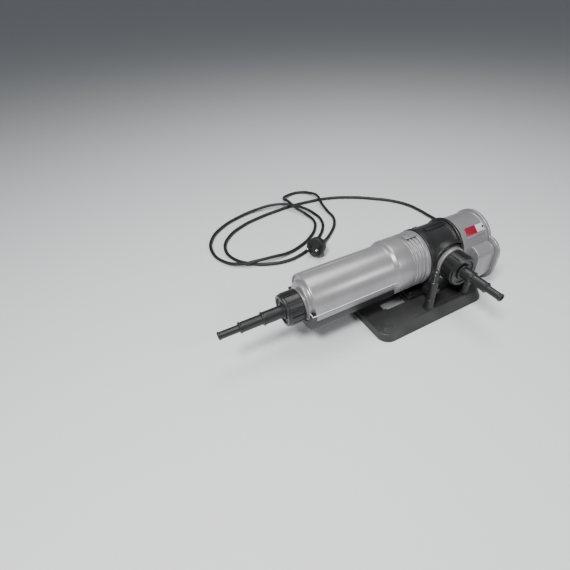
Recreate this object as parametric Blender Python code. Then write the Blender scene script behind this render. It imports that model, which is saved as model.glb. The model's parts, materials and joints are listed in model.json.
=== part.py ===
"""In-line UV clarifier for a pond or aquarium.

A grey lamp chamber plugs into a black tee that stands on a base.  The tee carries the front hose
union and the rear blanking cap, the chamber carries the end union, and the lamp head closes the tee
on the right.  Metres, +Z up, the chamber's axis along X, the lamp head at +X, the front union at -Y.
"""

import math

import bmesh
import bpy
from mathutils import Euler, Matrix, Vector

MM = 0.001

# Driving sizes, in millimetres.  Distances along X are counted from the tee's centre.
CHAMBER_RADIUS = 40.0        # outside of the chamber tube
CHAMBER_WALL = 3.5
CHAMBER_LENGTH = 212.0       # flange face to end face
COLLAR_STEP = 4.4            # the thicker stretch next to the tee stands proud by this
COLLAR_LENGTH = 59.0
TEE_RADIUS = 44.5
TEE_BORE = 38.0              # radius of the tee's through bore
TEE_LEFT = 40.5              # tee's ends, left and right of its centre
TEE_RIGHT = 20.7
FLANGE_RADIUS = 48.1         # lock ring
LOCK_RING_WIDTH = 6.4
HEAD_RADIUS = 44.3
HEAD_WALL = 3.3
HEAD_LENGTH = 58.0
LOBE_FRONT = 63.2            # front face of the ballast lobe, from the axis
LOBE_TOP = 12.5
LOBE_BOTTOM = 55.0
LOBE_ROUND = 18.5
LOBE_ROUND_LOW = 22.0
LOBE_START = 47.0            # lobe's left face, from the tee's centre
LOBE_INNER = -12.0           # where the lobe ends under the cylinder
COVER_WIDTH = 5.4
COVER_LIP = 2.3              # cover's rim stands proud of the housing
NUT_RADIUS = 25.5
NUT_LENGTH = 26.7
NUT_WALL = 5.1
STUB_RADIUS = 19.6
STUB_LENGTH = 15.5
PORT_BORE = 12.0
END_PORT_DROP = 5.0          # end union's axis under the chamber's axis
FRONT_PORT_FACE = 47.5       # seat of the side unions, from the axis
PORT_TUBE = 14.5             # radius of the ports' tubes in the tee's sides
CAP_RADIUS = 20.0            # rear blanking cap
CAP_SEAT = 45.0              # its open end and its face, from the axis
CAP_FACE = 51.0
CAP_WALL = 2.4
REAR_BORE = 9.5
TAIL_STEPS = (9.6, 7.75, 5.5)            # radii of the three hose seats
END_TAIL_LENGTHS = (31.3, 33.6, 29.7)
FRONT_TAIL_LENGTHS = (20.0, 27.5, 27.0)
TAIL_BORE = 3.8
SLEEVE_RADIUS = 19.0
SLEEVE_WALL = 1.7
SLEEVE_ROOM = 44.8           # from the chamber's end face to the closed end of the quartz sleeve
LAMP_TUBE_RADIUS = 6.0
LAMP_TUBE_OFFSET = 7.3
BASE_LEFT = 154.0
BASE_RIGHT = 72.0
BASE_HALF_WIDTH = 84.7
BASE_HEIGHT = 14.0
BASE_WALL = 3.0
FOOT_THICK = 8.5             # foot of the saddle under the tee
SADDLE_GAP = 7.8             # from the chamber's collar down to that foot
CHANNEL_HALF_WIDTH = 27.0
CHANNEL_DEPTH = 5.0
WINDOW = (-110.0, -65.0, 12.0, 29.0)     # x from, x to, y from, y to; one each side
POST_X = (-47.0, 33.0)
POST_Y = 62.0
POST_RADIUS = 6.8
LUG_RADIUS = 6.2
LUG_FOOT = -40.7             # lower end of the lugs, from the axis
LUG_TALL = 8.0               # the front left lug stands up to here, the others only to LUG_LOW
LUG_LOW = -18.0
SCREW_RADIUS = 2.0
CORD_RADIUS = 3.25
GAP = 0.3                    # clearance between pieces that touch

ROUND = 36                   # sides of the large round pieces
MIDDLE = 24
SMALL = 16

COLLAR_RADIUS = CHAMBER_RADIUS + COLLAR_STEP
AXIS_HEIGHT = BASE_HEIGHT + GAP + FOOT_THICK + SADDLE_GAP + COLLAR_RADIUS    # above the floor
BASE_TOP = BASE_HEIGHT - AXIS_HEIGHT
CHAMBER_FACE = -TEE_LEFT - GAP           # flange face against the tee
END_FACE = CHAMBER_FACE - CHAMBER_LENGTH
END_SEAT = END_FACE - 1.5                # small boss under the end union
SLEEVE_LEFT = -END_FACE - SLEEVE_ROOM    # closed end of the sleeve, left of the tee's centre
HEAD_LEFT = TEE_RIGHT + GAP + LOCK_RING_WIDTH + GAP
HEAD_RIGHT = HEAD_LEFT + HEAD_LENGTH
COVER_RIGHT = HEAD_RIGHT + GAP + COVER_WIDTH
GLAND_LENGTH = 11.0
SCREW_HEAD = 1.5

TAIL_START = STUB_LENGTH + 2.6           # hose tail's flange, from the union's seat
NUT_START = 1.2
NUT_END = NUT_START + NUT_LENGTH


def tail_reach(lengths):
    """Distance of a hose tail's tip from its union's seat."""
    return NUT_END + 0.7 + sum(lengths)


X_LEFT = END_SEAT - tail_reach(END_TAIL_LENGTHS)
X_RIGHT = COVER_RIGHT + GAP + GLAND_LENGTH
Y_FRONT = -FRONT_PORT_FACE - tail_reach(FRONT_TAIL_LENGTHS)
Y_BACK = max(BASE_HALF_WIDTH, CAP_FACE)
CENTRE = Vector((-(X_LEFT + X_RIGHT) / 2, -(Y_FRONT + Y_BACK) / 2, AXIS_HEIGHT))

COLOURS = {
    "grey_plastic": ((0.56, 0.56, 0.58), 0.35, 0.1),
    "black_plastic": ((0.03, 0.03, 0.033), 0.5, 0.0),
    "black_rubber": ((0.02, 0.02, 0.02), 0.7, 0.0),
    "window_red": ((0.45, 0.01, 0.05), 0.3, 0.0),
    "label_grey": ((0.66, 0.66, 0.67), 0.4, 0.0),
    "quartz_glass": ((0.85, 0.9, 0.95), 0.05, 0.0),
    "lamp_white": ((0.85, 0.86, 0.88), 0.3, 0.0),
    "screw_steel": ((0.7, 0.7, 0.7), 0.3, 1.0),
    "pin_nickel": ((0.75, 0.73, 0.68), 0.25, 1.0),
    "coil_steel": ((0.35, 0.33, 0.3), 0.5, 0.6),
}


def clear_scene():
    for item in list(bpy.data.objects):
        bpy.data.objects.remove(item, do_unlink=True)


def material(slot):
    found = bpy.data.materials.get(slot)
    if found:
        return found
    colour, rough, metal = COLOURS[slot]
    made = bpy.data.materials.new(slot)
    made.use_nodes = True
    shader = made.node_tree.nodes["Principled BSDF"]
    shader.inputs["Base Color"].default_value = (*colour, 1.0)
    shader.inputs["Roughness"].default_value = rough
    shader.inputs["Metallic"].default_value = metal
    return made


def to_world(x=0.0, y=0.0, z=0.0):
    """Place of a point given in millimetres from the tee's centre, in metres."""
    return (CENTRE + Vector((x, y, z))) * MM


def finish(name, mesh, slot, at, turn=None, smooth=True):
    """Make the object from a bmesh in millimetres, with its origin at a point."""
    bmesh.ops.scale(mesh, vec=(MM, MM, MM), verts=mesh.verts)
    bmesh.ops.recalc_face_normals(mesh, faces=mesh.faces)
    data = bpy.data.meshes.new(name)
    mesh.to_mesh(data)
    mesh.free()
    if smooth:
        data.shade_smooth()
        data.set_sharp_from_angle(angle=math.radians(30))
    piece = bpy.data.objects.new(name, data)
    piece.location = to_world(*at)
    if turn is not None:
        piece.rotation_euler = turn
    piece.data.materials.append(material(slot))
    bpy.context.scene.collection.objects.link(piece)
    return piece


def as_guide(piece):
    piece.hide_render = True
    piece.display_type = "WIRE"
    return piece


def combine(target, other, operation):
    """Union with, or cut by, another object, which stays behind as a guide."""
    step = target.modifiers.new(other.name, "BOOLEAN")
    step.operation = operation
    step.solver = "EXACT"
    step.object = as_guide(other)
    return target


def add(target, *others):
    for other in others:
        combine(target, other, "UNION")
    return target


def cut(target, *others):
    for other in others:
        combine(target, other, "DIFFERENCE")
    return target


ALONG_X = (0.0, math.radians(90), 0.0)       # local Z points to +X
ALONG_MINUS_X = (0.0, math.radians(-90), 0.0)
ALONG_MINUS_Y = (math.radians(90), 0.0, 0.0)
ALONG_PLUS_Y = (math.radians(-90), 0.0, 0.0)


def turned(name, outline, slot, at, turn=None, sides=MIDDLE, ribs=0, rib_depth=1.2, ribbed=()):
    """A turned piece.  The outline is (along, radius) pairs; radius 0 closes it on its axis.

    The rings whose outline index is in ribbed get grooves: one side in four is set inwards.
    """
    mesh = bmesh.new()
    on_axis = outline[0][1] == 0.0
    rings = []
    for index, (along, radius) in enumerate(outline):
        if radius == 0.0:
            rings.append([mesh.verts.new((0.0, 0.0, along))])
            continue
        ring = []
        for side in range(sides):
            angle = 2 * math.pi * side / sides
            reach = radius
            if ribs and index in ribbed and side % (sides // ribs) == 0:
                reach = radius - rib_depth
            ring.append(mesh.verts.new((reach * math.cos(angle), reach * math.sin(angle), along)))
        rings.append(ring)
    pairs = list(zip(rings, rings[1:]))
    if not on_axis:
        pairs.append((rings[-1], rings[0]))
    for first, second in pairs:
        if len(first) == 1 and len(second) == 1:
            continue
        for side in range(sides):
            after = (side + 1) % sides
            corners = [first[side % len(first)], second[side % len(second)],
                       second[after % len(second)], first[after % len(first)]]
            mesh.faces.new(list(dict.fromkeys(corners)))
    return finish(name, mesh, slot, at, turn)


def rod(name, radius, start, end, slot, at=(0, 0, 0), turn=None, sides=SMALL, edge=0.0):
    """A plain round bar along its local Z, with its ends chamfered by edge."""
    outline = [(start, 0.0)]
    if edge:
        outline += [(start, radius - edge), (start + edge, radius)]
        outline += [(end - edge, radius), (end, radius - edge)]
    else:
        outline += [(start, radius), (end, radius)]
    outline.append((end, 0.0))
    return turned(name, outline, slot, at, turn, sides)


def ring(name, inner, outer, start, end, slot, at=(0, 0, 0), turn=None, sides=MIDDLE):
    outline = [(start, inner), (start, outer), (end, outer), (end, inner)]
    return turned(name, outline, slot, at, turn, sides)


def seal(name, middle, thick, along, slot, at, turn, sides=ROUND):
    """An O-ring: six points round its section."""
    outline = []
    for step in range(6):
        angle = 2 * math.pi * step / 6
        outline.append((along + thick / 2 * math.sin(angle), middle + thick / 2 * math.cos(angle)))
    return turned(name, outline, slot, at, turn, sides)


def block(name, low, high, slot, edge=0.0):
    """A box between two corners, given from the tee's centre."""
    low = Vector(low)
    high = Vector(high)
    middle = (low + high) / 2
    mesh = bmesh.new()
    bmesh.ops.create_cube(mesh, size=1.0)
    bmesh.ops.scale(mesh, vec=high - low, verts=mesh.verts)
    piece = finish(name, mesh, slot, middle, smooth=False)
    if edge:
        soften(piece, edge)
    return piece


def soften(piece, width, segments=1, angle=40):
    step = piece.modifiers.new("edges", "BEVEL")
    step.width = width * MM
    step.segments = segments
    step.limit_method = "ANGLE"
    step.angle_limit = math.radians(angle)
    return piece


def prism(name, outline, start, end, slot, at=(0, 0, 0), turn=None):
    """An outline in the local XY plane, pushed along the local Z."""
    mesh = bmesh.new()
    face = mesh.faces.new([mesh.verts.new((x, y, start)) for x, y in outline])
    pushed = bmesh.ops.extrude_face_region(mesh, geom=[face])
    moved = [item for item in pushed["geom"] if isinstance(item, bmesh.types.BMVert)]
    bmesh.ops.translate(mesh, vec=(0.0, 0.0, end - start), verts=moved)
    return finish(name, mesh, slot, at, turn)


def loft(name, lower, upper, start, end, slot, at=(0, 0, 0)):
    """A closed body between two outlines with as many points, at two heights."""
    mesh = bmesh.new()
    below = [mesh.verts.new((x, y, start)) for x, y in lower]
    above = [mesh.verts.new((x, y, end)) for x, y in upper]
    mesh.faces.new(list(reversed(below)))
    mesh.faces.new(above)
    count = len(below)
    for item in range(count):
        after = (item + 1) % count
        mesh.faces.new([below[item], below[after], above[after], above[item]])
    return finish(name, mesh, slot, at)


def arc(centre_x, centre_y, radius, first, last, steps):
    """Points of an arc, angles in degrees, both ends included."""
    points = []
    for step in range(steps + 1):
        angle = math.radians(first + (last - first) * step / steps)
        points.append((centre_x + radius * math.cos(angle), centre_y + radius * math.sin(angle)))
    return points


# ------------------------------------------------------------------ chamber

NECK_RADIUS = COLLAR_RADIUS - 2.1
SPIGOT_RADIUS = TEE_BORE - 0.5
SPIGOT_LENGTH = 20.0
SPIGOT_BORE = SPIGOT_RADIUS - 3.5
GROOVE_DEPTH = 2.0
SEAL_THICK = 1.9
KEEL_PROUD = 0.4


def ridges(first, last, count, foot, top):
    """Outline points of rounded ridges between two places along the axis."""
    points = []
    pitch = (last - first) / count
    for item in range(count):
        start = first + pitch * item
        points += [(start + 0.2 * pitch, foot), (start + 0.4 * pitch, top)]
        points += [(start + 0.7 * pitch, top), (start + 0.9 * pitch, foot)]
    return points


def keel_outline():
    """Lower half of the chamber's section: drafted sides, then a flat arc."""
    side = CHAMBER_RADIUS + KEEL_PROUD
    right = [(side, 0.4), (side * 0.92, -side * 0.42), (side * 0.8, -side * 0.74)]
    right += [(side * 0.72, -side * 0.85), (side * 0.33, -side * 0.98)]
    left = [(-x, z) for x, z in reversed(right)]
    return right + [(0.0, -side)] + left


def chamber():
    end_wall = 3.5
    collar_left = CHAMBER_FACE - COLLAR_LENGTH
    neck_left = CHAMBER_FACE - 32.0
    flange_left = CHAMBER_FACE - 7.5
    groove = CHAMBER_FACE + SPIGOT_LENGTH - 8.0
    rim = END_FACE + 0.6
    outer = [(rim, 0.0), (rim, 30.0), (END_FACE + 6.0, 30.0)]
    outer += [(END_FACE + 6.0, CHAMBER_RADIUS - 2.0), (END_FACE + 7.5, CHAMBER_RADIUS - 0.5)]
    outer += [(END_FACE + 9.0, CHAMBER_RADIUS), (collar_left - 8.0, CHAMBER_RADIUS)]
    outer += [(collar_left - 3.0, COLLAR_RADIUS - 2.6), (collar_left, COLLAR_RADIUS - 0.5)]
    outer += [(collar_left + 3.0, COLLAR_RADIUS), (neck_left, COLLAR_RADIUS)]
    outer += [(neck_left + 1.5, NECK_RADIUS)]
    outer += ridges(neck_left + 2.0, flange_left - 1.0, 3, NECK_RADIUS, COLLAR_RADIUS - 0.4)
    outer += [(flange_left, COLLAR_RADIUS), (CHAMBER_FACE, COLLAR_RADIUS)]
    outer += [(CHAMBER_FACE, SPIGOT_RADIUS), (groove, SPIGOT_RADIUS)]
    outer += [(groove, SPIGOT_RADIUS - GROOVE_DEPTH)]
    outer += [(groove + 3.0, SPIGOT_RADIUS - GROOVE_DEPTH), (groove + 3.0, SPIGOT_RADIUS)]
    outer += [(CHAMBER_FACE + SPIGOT_LENGTH, SPIGOT_RADIUS), (CHAMBER_FACE + SPIGOT_LENGTH, 0.0)]
    tube = turned("chamber_tube", outer, "grey_plastic", (0, 0, 0), ALONG_X, ROUND)
    keel = prism("keel_form", [(-z, y) for y, z in keel_outline()], END_FACE, collar_left + 2.0,
                 "grey_plastic", (0, 0, 0), ALONG_X)
    drop = (0, 0, -END_PORT_DROP)
    stub = turned("end_stub_form", stub_outline(-END_SEAT - 2.5, -END_SEAT + STUB_LENGTH),
                  "grey_plastic", drop, ALONG_MINUS_X)
    boss = rod("end_boss_form", NUT_RADIUS - 2.0, -END_FACE - 1.0, -END_SEAT, "grey_plastic", drop,
               ALONG_MINUS_X, MIDDLE)
    add(tube, keel, boss, stub)
    inside = CHAMBER_RADIUS - CHAMBER_WALL
    bore = [(END_FACE + end_wall, 0.0), (END_FACE + end_wall, 26.0), (END_FACE + 9.5, 26.0)]
    bore += [(END_FACE + 12.0, inside), (collar_left, inside), (collar_left + 8.0, SPIGOT_BORE)]
    bore += [(CHAMBER_FACE + SPIGOT_LENGTH + 1.0, SPIGOT_BORE)]
    bore += [(CHAMBER_FACE + SPIGOT_LENGTH + 1.0, 0.0)]
    hollow = turned("chamber_bore_form", bore, "grey_plastic", (0, 0, 0), ALONG_X, ROUND)
    way = rod("end_way_form", PORT_BORE, -END_FACE - end_wall - 1.0, -END_SEAT + STUB_LENGTH + 1.0,
              "grey_plastic", drop, ALONG_MINUS_X)
    cut(tube, hollow, way)
    seal("chamber_seal", SPIGOT_RADIUS - GROOVE_DEPTH / 2 + 0.1, SEAL_THICK - 0.2,
         groove + 1.5, "black_rubber", (0, 0, 0), ALONG_X)
    catch_x = CHAMBER_FACE - 15.0
    catch = block("chamber_catch", (catch_x - 11.0, -4.0, COLLAR_RADIUS + GAP),
                  (catch_x + 9.0, 4.0, COLLAR_RADIUS + 3.0), "grey_plastic", 0.8)
    return catch


def stub_outline(start, end):
    """Solid threaded stub between two places; its four ridges stand for the thread."""
    outline = [(start, 0.0), (start, STUB_RADIUS - 0.8)]
    outline += ridges(end - 12.5, end - 1.0, 3, STUB_RADIUS - 0.8, STUB_RADIUS)
    return outline + [(end, STUB_RADIUS - 0.8), (end, 0.0)]


# ------------------------------------------------------------------ unions

TAIL_FLANGE = 3.0
TAIL_NECK = 12.2
NUT_HOLE = 13.0


def tail_outline(lengths):
    neck_end = NUT_END + 0.7
    outline = [(TAIL_START, TAIL_BORE), (TAIL_START, STUB_RADIUS - 1.1)]
    outline += [(TAIL_START + TAIL_FLANGE, STUB_RADIUS - 1.1), (TAIL_START + TAIL_FLANGE, TAIL_NECK)]
    outline += [(neck_end - 0.6, TAIL_NECK), (neck_end, TAIL_NECK - 0.6)]
    along = neck_end
    for radius, length in zip(TAIL_STEPS, lengths):
        outline.append((along, radius))
        along += length
        outline += [(along - 3.2, radius), (along - 2.8, radius + 0.8), (along - 1.2, radius + 0.8)]
        outline.append((along, radius - 0.4))
    outline.append((along, TAIL_BORE))
    return outline


def nut_outline():
    inner = STUB_RADIUS + 0.8
    wall = NUT_END - NUT_WALL
    return [(NUT_START, inner), (NUT_START, NUT_RADIUS - 0.8), (NUT_START + 0.8, NUT_RADIUS),
            (NUT_END - 3.6, NUT_RADIUS), (NUT_END - 2.8, NUT_RADIUS - 1.6),
            (NUT_END - 0.8, NUT_RADIUS - 1.6), (NUT_END, NUT_RADIUS - 3.0),
            (NUT_END, NUT_HOLE), (wall, NUT_HOLE), (wall, inner)]


def cap_outline():
    inner = PORT_TUBE + 0.8
    wall = CAP_FACE - CAP_WALL
    return [(wall, 0.0), (wall, inner), (CAP_SEAT, inner), (CAP_SEAT, CAP_RADIUS - 0.6),
            (CAP_SEAT + 0.6, CAP_RADIUS), (CAP_FACE - 1.4, CAP_RADIUS),
            (CAP_FACE, CAP_RADIUS - 1.6), (CAP_FACE, 0.0)]


def union(name, seat, turn, at, lengths):
    """Seal, union nut and stepped hose tail, outwards from a seat along the local Z."""
    place = Vector(at) + Euler(turn).to_matrix() @ Vector((0, 0, seat))
    ring(name + "_seal", PORT_BORE + 0.5, STUB_RADIUS - 1.6, STUB_LENGTH + GAP,
         TAIL_START - GAP, "black_rubber", place, turn, SMALL)
    turned(name + "_nut", nut_outline(), "black_plastic", place, turn, 36, 12, 1.2, (2, 3))
    turned(name + "_tail", tail_outline(lengths), "black_plastic", place, turn, SMALL)


def front_port():
    """Light collar with a threaded stub, let into the tee's front, cut flat beside the lock ring."""
    seat = FRONT_PORT_FACE
    face = seat - 2.9
    end = seat + STUB_LENGTH
    outline = [(TEE_RADIUS - 3.0, PORT_BORE), (TEE_RADIUS - 3.0, PORT_TUBE), (face, PORT_TUBE)]
    outline += [(face, NUT_RADIUS + 1.5), (seat + 0.1, NUT_RADIUS + 1.5)]
    outline += [(seat + 0.7, NUT_RADIUS + 0.7), (seat + 0.7, STUB_RADIUS - 0.8)]
    outline += ridges(seat + 2.0, end - 0.8, 3, STUB_RADIUS - 0.8, STUB_RADIUS)
    outline += [(end, STUB_RADIUS - 0.8), (end, PORT_BORE)]
    port = turned("front_port", outline, "grey_plastic", (0, 0, 0), ALONG_MINUS_Y)
    cut(port, block("front_flat_form", (TEE_RIGHT - 0.2, -(FLANGE_RADIUS + GAP), -40), (40, -30, 40),
                    "grey_plastic"))


def rear_port():
    """Short stub let into the tee's back, with its blanking cap and seal."""
    end = CAP_FACE - CAP_WALL - 1.4
    outline = [(TEE_RADIUS - 3.0, REAR_BORE), (TEE_RADIUS - 3.0, PORT_TUBE), (end, PORT_TUBE)]
    outline.append((end, REAR_BORE))
    turned("rear_port", outline, "grey_plastic", (0, 0, 0), ALONG_PLUS_Y)
    ring("rear_seal", REAR_BORE + 0.5, PORT_TUBE - 0.5, end + GAP, CAP_FACE - CAP_WALL - GAP,
         "black_rubber", (0, 0, 0), ALONG_PLUS_Y, SMALL)
    turned("rear_cap", cap_outline(), "black_plastic", (0, 0, 0), ALONG_PLUS_Y, 36, 12, 1.2, (4, 5))


def unions():
    union("end", -END_SEAT, ALONG_MINUS_X, (0, 0, -END_PORT_DROP), END_TAIL_LENGTHS)
    union("front", FRONT_PORT_FACE, ALONG_MINUS_Y, (0, 0, 0), FRONT_TAIL_LENGTHS)
    front_port()
    rear_port()


# ------------------------------------------------------------------ tee

ARM_FOOT = LUG_FOOT + 2.2
ARM_TOP = -NUT_RADIUS - 3.0  # the arms pass under the union nuts
ARM_INNER = COLLAR_RADIUS - 2.4           # and beside the chamber's collar
BOSS_RADIUS = 36.5
BOSS_STEP = 39.5             # where the arched rim steps down to the boss
BOSS_NECK = 31.5


def tee():
    left = -TEE_LEFT
    outer = [(left, 0.0), (left, TEE_RADIUS + 1.5), (left + 5.5, TEE_RADIUS + 1.5)]
    outer += [(left + 6.5, TEE_RADIUS + 0.8), (left + 8.0, TEE_RADIUS + 0.8)]
    outer += [(left + 8.5, TEE_RADIUS), (TEE_RIGHT - 5.0, TEE_RADIUS)]
    outer += [(TEE_RIGHT - 4.2, TEE_RADIUS + 1.6), (TEE_RIGHT, TEE_RADIUS + 1.6), (TEE_RIGHT, 0.0)]
    body = turned("tee_body", outer, "black_plastic", (0, 0, 0), ALONG_X, ROUND)
    face = FRONT_PORT_FACE - 2.9 - GAP
    boss = [(10.0, 0.0), (10.0, BOSS_RADIUS), (BOSS_STEP, BOSS_RADIUS)]
    boss += [(BOSS_STEP + 0.8, BOSS_RADIUS - 0.8), (BOSS_STEP + 0.8, BOSS_NECK)]
    boss += [(face, BOSS_NECK), (face, 0.0)]
    add(body, turned("front_boss_form", boss, "black_plastic", (0, 0, 0), ALONG_MINUS_Y))
    rear_radius = CAP_RADIUS + 1.0
    add(body, rod("rear_boss_form", rear_radius, 10.0, face, "black_plastic", (0, 0, 0),
                  ALONG_PLUS_Y, MIDDLE))
    for turn, radius in ((ALONG_MINUS_Y, BOSS_NECK), (ALONG_PLUS_Y, rear_radius)):
        cut(body, rod("face_form", radius, face, face + 12.0, "black_plastic", (0, 0, 0), turn, MIDDLE))
    cut(body, block("boss_side_form", (TEE_RIGHT, -60, -60), (60, 60, 60), "black_plastic"))
    foot = BASE_TOP + GAP
    add(body, block("top_rib_form", (-24, -2.4, TEE_RADIUS - 2), (15, 2.4, TEE_RADIUS + 2.2),
                    "black_plastic"))
    add(body, block("pedestal_form", (-32, -28, foot + 1.0), (15, 28, -20), "black_plastic"))
    add(body, block("foot_form", (-64, -33, foot), (42, 33, foot + FOOT_THICK), "black_plastic", 3.0))
    for side in (-1, 1):
        for index, x in enumerate(POST_X):
            label = "%d_%s" % (index, "front" if side < 0 else "rear")
            lug = lug_outline(lug_top(index, side))
            add(body, turned("lug_form_" + label, lug, "black_plastic", (x, side * POST_Y, 0), None, 14))
            inward = 1 if index == 0 else -1
            edge = left + 0.5 if index == 0 else TEE_RIGHT - 0.5
            spans = sorted((x - 3.5 * inward, edge + 10.0 * inward))
            reach = sorted((side * POST_Y, side * ARM_INNER))
            arm = block("arm_form_" + label, (spans[0], reach[0], ARM_FOOT), (spans[1], reach[1], ARM_TOP),
                        "black_plastic")
            deep = sorted((edge, edge + 12.0 * inward))
            root = sorted((side * (ARM_INNER + 3.0), side * 22.0))
            knee = block("knee_form_" + label, (deep[0], root[0], ARM_FOOT + 0.5),
                         (deep[1], root[1], ARM_TOP - 0.5), "black_plastic")
            add(body, arm, knee)
    cut(body, rod("tee_bore_form", TEE_BORE, left - 1, TEE_RIGHT + 1, "black_plastic", (0, 0, 0),
                  ALONG_X, ROUND))
    cut(body, rod("side_bore_form", PORT_TUBE + GAP, -60, 60, "black_plastic", (0, 0, 0),
                  ALONG_MINUS_Y, MIDDLE))
    for side in (-1, 1):
        for index, x in enumerate(POST_X):
            cut(body, rod("lug_bore_form", SCREW_RADIUS + 0.4, LUG_FOOT - 1, lug_top(index, side) + 1,
                          "black_plastic", (x, side * POST_Y, 0), None, 12))
    return body


def lug_top(index, side):
    return LUG_TALL if index == 0 and side < 0 else LUG_LOW


def lug_outline(top):
    """Ribbed screw lug, standing on the base's post."""
    outline = [(LUG_FOOT, 0.0), (LUG_FOOT, LUG_RADIUS)]
    start = LUG_FOOT + 3.0
    pitch = 6.4
    while start + pitch < top - 1.5:
        outline += [(start, LUG_RADIUS), (start + 0.8, LUG_RADIUS - 1.0)]
        outline += [(start + 2.2, LUG_RADIUS - 1.0), (start + 3.0, LUG_RADIUS)]
        start += pitch
    return outline + [(top - 1.2, LUG_RADIUS), (top, LUG_RADIUS - 1.2), (top, 0.0)]


def tee_screws():
    tip = BASE_TOP + 4.0
    number = 1
    for side in (-1, 1):
        for index, x in enumerate(POST_X):
            head = lug_top(index, side) + GAP
            outline = [(tip, 0.0), (tip, SCREW_RADIUS), (head, SCREW_RADIUS), (head, 4.6)]
            outline += [(head + 1.6, 4.4), (head + 3.4, 3.2), (head + 4.4, 1.4), (head + 4.7, 0.0)]
            turned("tee_screw_%d" % number, outline, "screw_steel", (x, side * POST_Y, 0), None, 16)
            number += 1


# ------------------------------------------------------------------ base

def base_outline(inset, waist):
    """Half-rounded plan of the base; waist pulls the long sides in between the ends."""
    left = -BASE_LEFT + inset * 0.2
    right = BASE_RIGHT - inset
    wide = BASE_HALF_WIDTH - inset
    corner = 20.0
    front = arc(left + corner, -wide + corner, corner, 180, 270, 5)
    front += [(-93.0, -wide + waist * 0.6), (-50.0, -wide + waist), (0.0, -wide + waist)]
    front += arc(right - 26.0, -wide + waist * 0.6 + 26.0, 26.0, 275, 360, 5)
    back = [(x, -y) for x, y in reversed(front)]
    return front + back


def base():
    floor = -AXIS_HEIGHT
    deck = loft("base_bracket", base_outline(0.0, 0.0), base_outline(3.0, 10.0), floor, BASE_TOP,
                "black_plastic")
    under = BASE_TOP - BASE_WALL
    inner = BASE_HALF_WIDTH - 16.0
    step = WINDOW[3] + BASE_WALL + 1.0
    left = -BASE_LEFT + 5.0
    right = BASE_RIGHT - 14.0
    for side in (-1, 1):
        spans = sorted((side * step, side * inner))
        for number, (start, end) in enumerate(((left, -56.0), (-38.0, 24.0))):
            name = "base_pocket_form_%d_%d" % (number, side + 1)
            cut(deck, block(name, (start, spans[0], floor - 1), (end, spans[1], under), "black_plastic"))
    middle = CHANNEL_HALF_WIDTH - BASE_WALL
    low = BASE_TOP - CHANNEL_DEPTH
    cut(deck, block("base_middle_form", (left, -middle, floor - 1), (right, middle, low - BASE_WALL),
                    "black_plastic"))
    cut(deck, block("channel_form", (left, -CHANNEL_HALF_WIDTH, low), (-66.0 - GAP, CHANNEL_HALF_WIDTH,
                    BASE_TOP + 1), "black_plastic"))
    for side in (-1, 1):
        spans = sorted((side * WINDOW[2], side * WINDOW[3]))
        cut(deck, block("window_form_%d" % (side + 1), (WINDOW[0], spans[0], floor - 2),
                        (WINDOW[1], spans[1], BASE_TOP + 2), "black_plastic"))
    for side in (-1, 1):
        for index, x in enumerate(POST_X):
            label = "%d_%d" % (index, side + 1)
            top = LUG_FOOT - GAP
            post = [(BASE_TOP - 2, 0.0), (BASE_TOP - 2, POST_RADIUS + 2.2)]
            post += [(BASE_TOP + 1.0, POST_RADIUS + 2.0), (BASE_TOP + 2.5, POST_RADIUS)]
            post += [(top, POST_RADIUS - 0.3), (top, 0.0)]
            add(deck, turned("post_form_" + label, post, "black_plastic", (x, side * POST_Y, 0), None,
                             SMALL))
            cut(deck, rod("post_bore_form_" + label, SCREW_RADIUS + 0.4, BASE_TOP + 2, top + 1,
                          "black_plastic", (x, side * POST_Y, 0), None, 12))
        hole = (-133.0, side * 61.0, 0)
        boss = [(under - 1, 0.0), (under - 1, 9.5), (BASE_TOP + 0.2, 9.5), (BASE_TOP + 1.4, 8.6)]
        boss += [(BASE_TOP + 1.4, 0.0)]
        add(deck, turned("screw_boss_form_%d" % (side + 1), boss, "black_plastic", hole, None, SMALL))
        cut(deck, rod("screw_hole_form_%d" % (side + 1), 2.4, floor - 1, BASE_TOP + 3, "black_plastic",
                      hole, None, 12))
    return deck


# ------------------------------------------------------------------ lamp head

def lobe_outline(grow):
    """The ballast lobe's section in (y, z), with its rounded front corners."""
    front = -LOBE_FRONT - grow
    top = LOBE_TOP + grow
    bottom = -LOBE_BOTTOM - grow
    r = LOBE_ROUND + grow
    low_r = LOBE_ROUND_LOW + grow
    points = arc(front + low_r, bottom + low_r, low_r, 270, 180, 5)
    points += arc(front + r, top - r, r, 180, 90, 5)
    return points


def lobe_section(grow):
    """The lobe alone, closed off inside the head's cylinder."""
    top = LOBE_TOP + grow
    bottom = -LOBE_BOTTOM - grow
    return lobe_outline(grow) + [(LOBE_INNER, top), (LOBE_INNER, bottom)]


def cover_section(radius, grow):
    """Keyhole outline in (y, z): the head's circle run together with the lobe."""
    top = LOBE_TOP + grow
    bottom = -LOBE_BOTTOM - grow
    first = math.degrees(math.atan2(top, -math.sqrt(radius ** 2 - top ** 2)))
    last = -math.degrees(math.acos(LOBE_INNER / radius))
    circle = arc(0.0, 0.0, radius, first, last, 28)
    return circle + [(LOBE_INNER, bottom)] + lobe_outline(grow)


def along_x(outline):
    """Turn (y, z) points into the plane of a prism that is pushed along X."""
    return [(-z, y) for y, z in outline]


LABEL_ANGLE = 50.5
LABEL_HALF = 6.5
LABEL_FLOOR = HEAD_RADIUS - 1.9
WINDOW_LENGTH = 24.0
LABEL_START = 11.8           # from the housing's left end
LABEL_END = HEAD_LENGTH - 4.0
GLAND_PLACE = (0.0, 22.0, -22.0)


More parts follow.
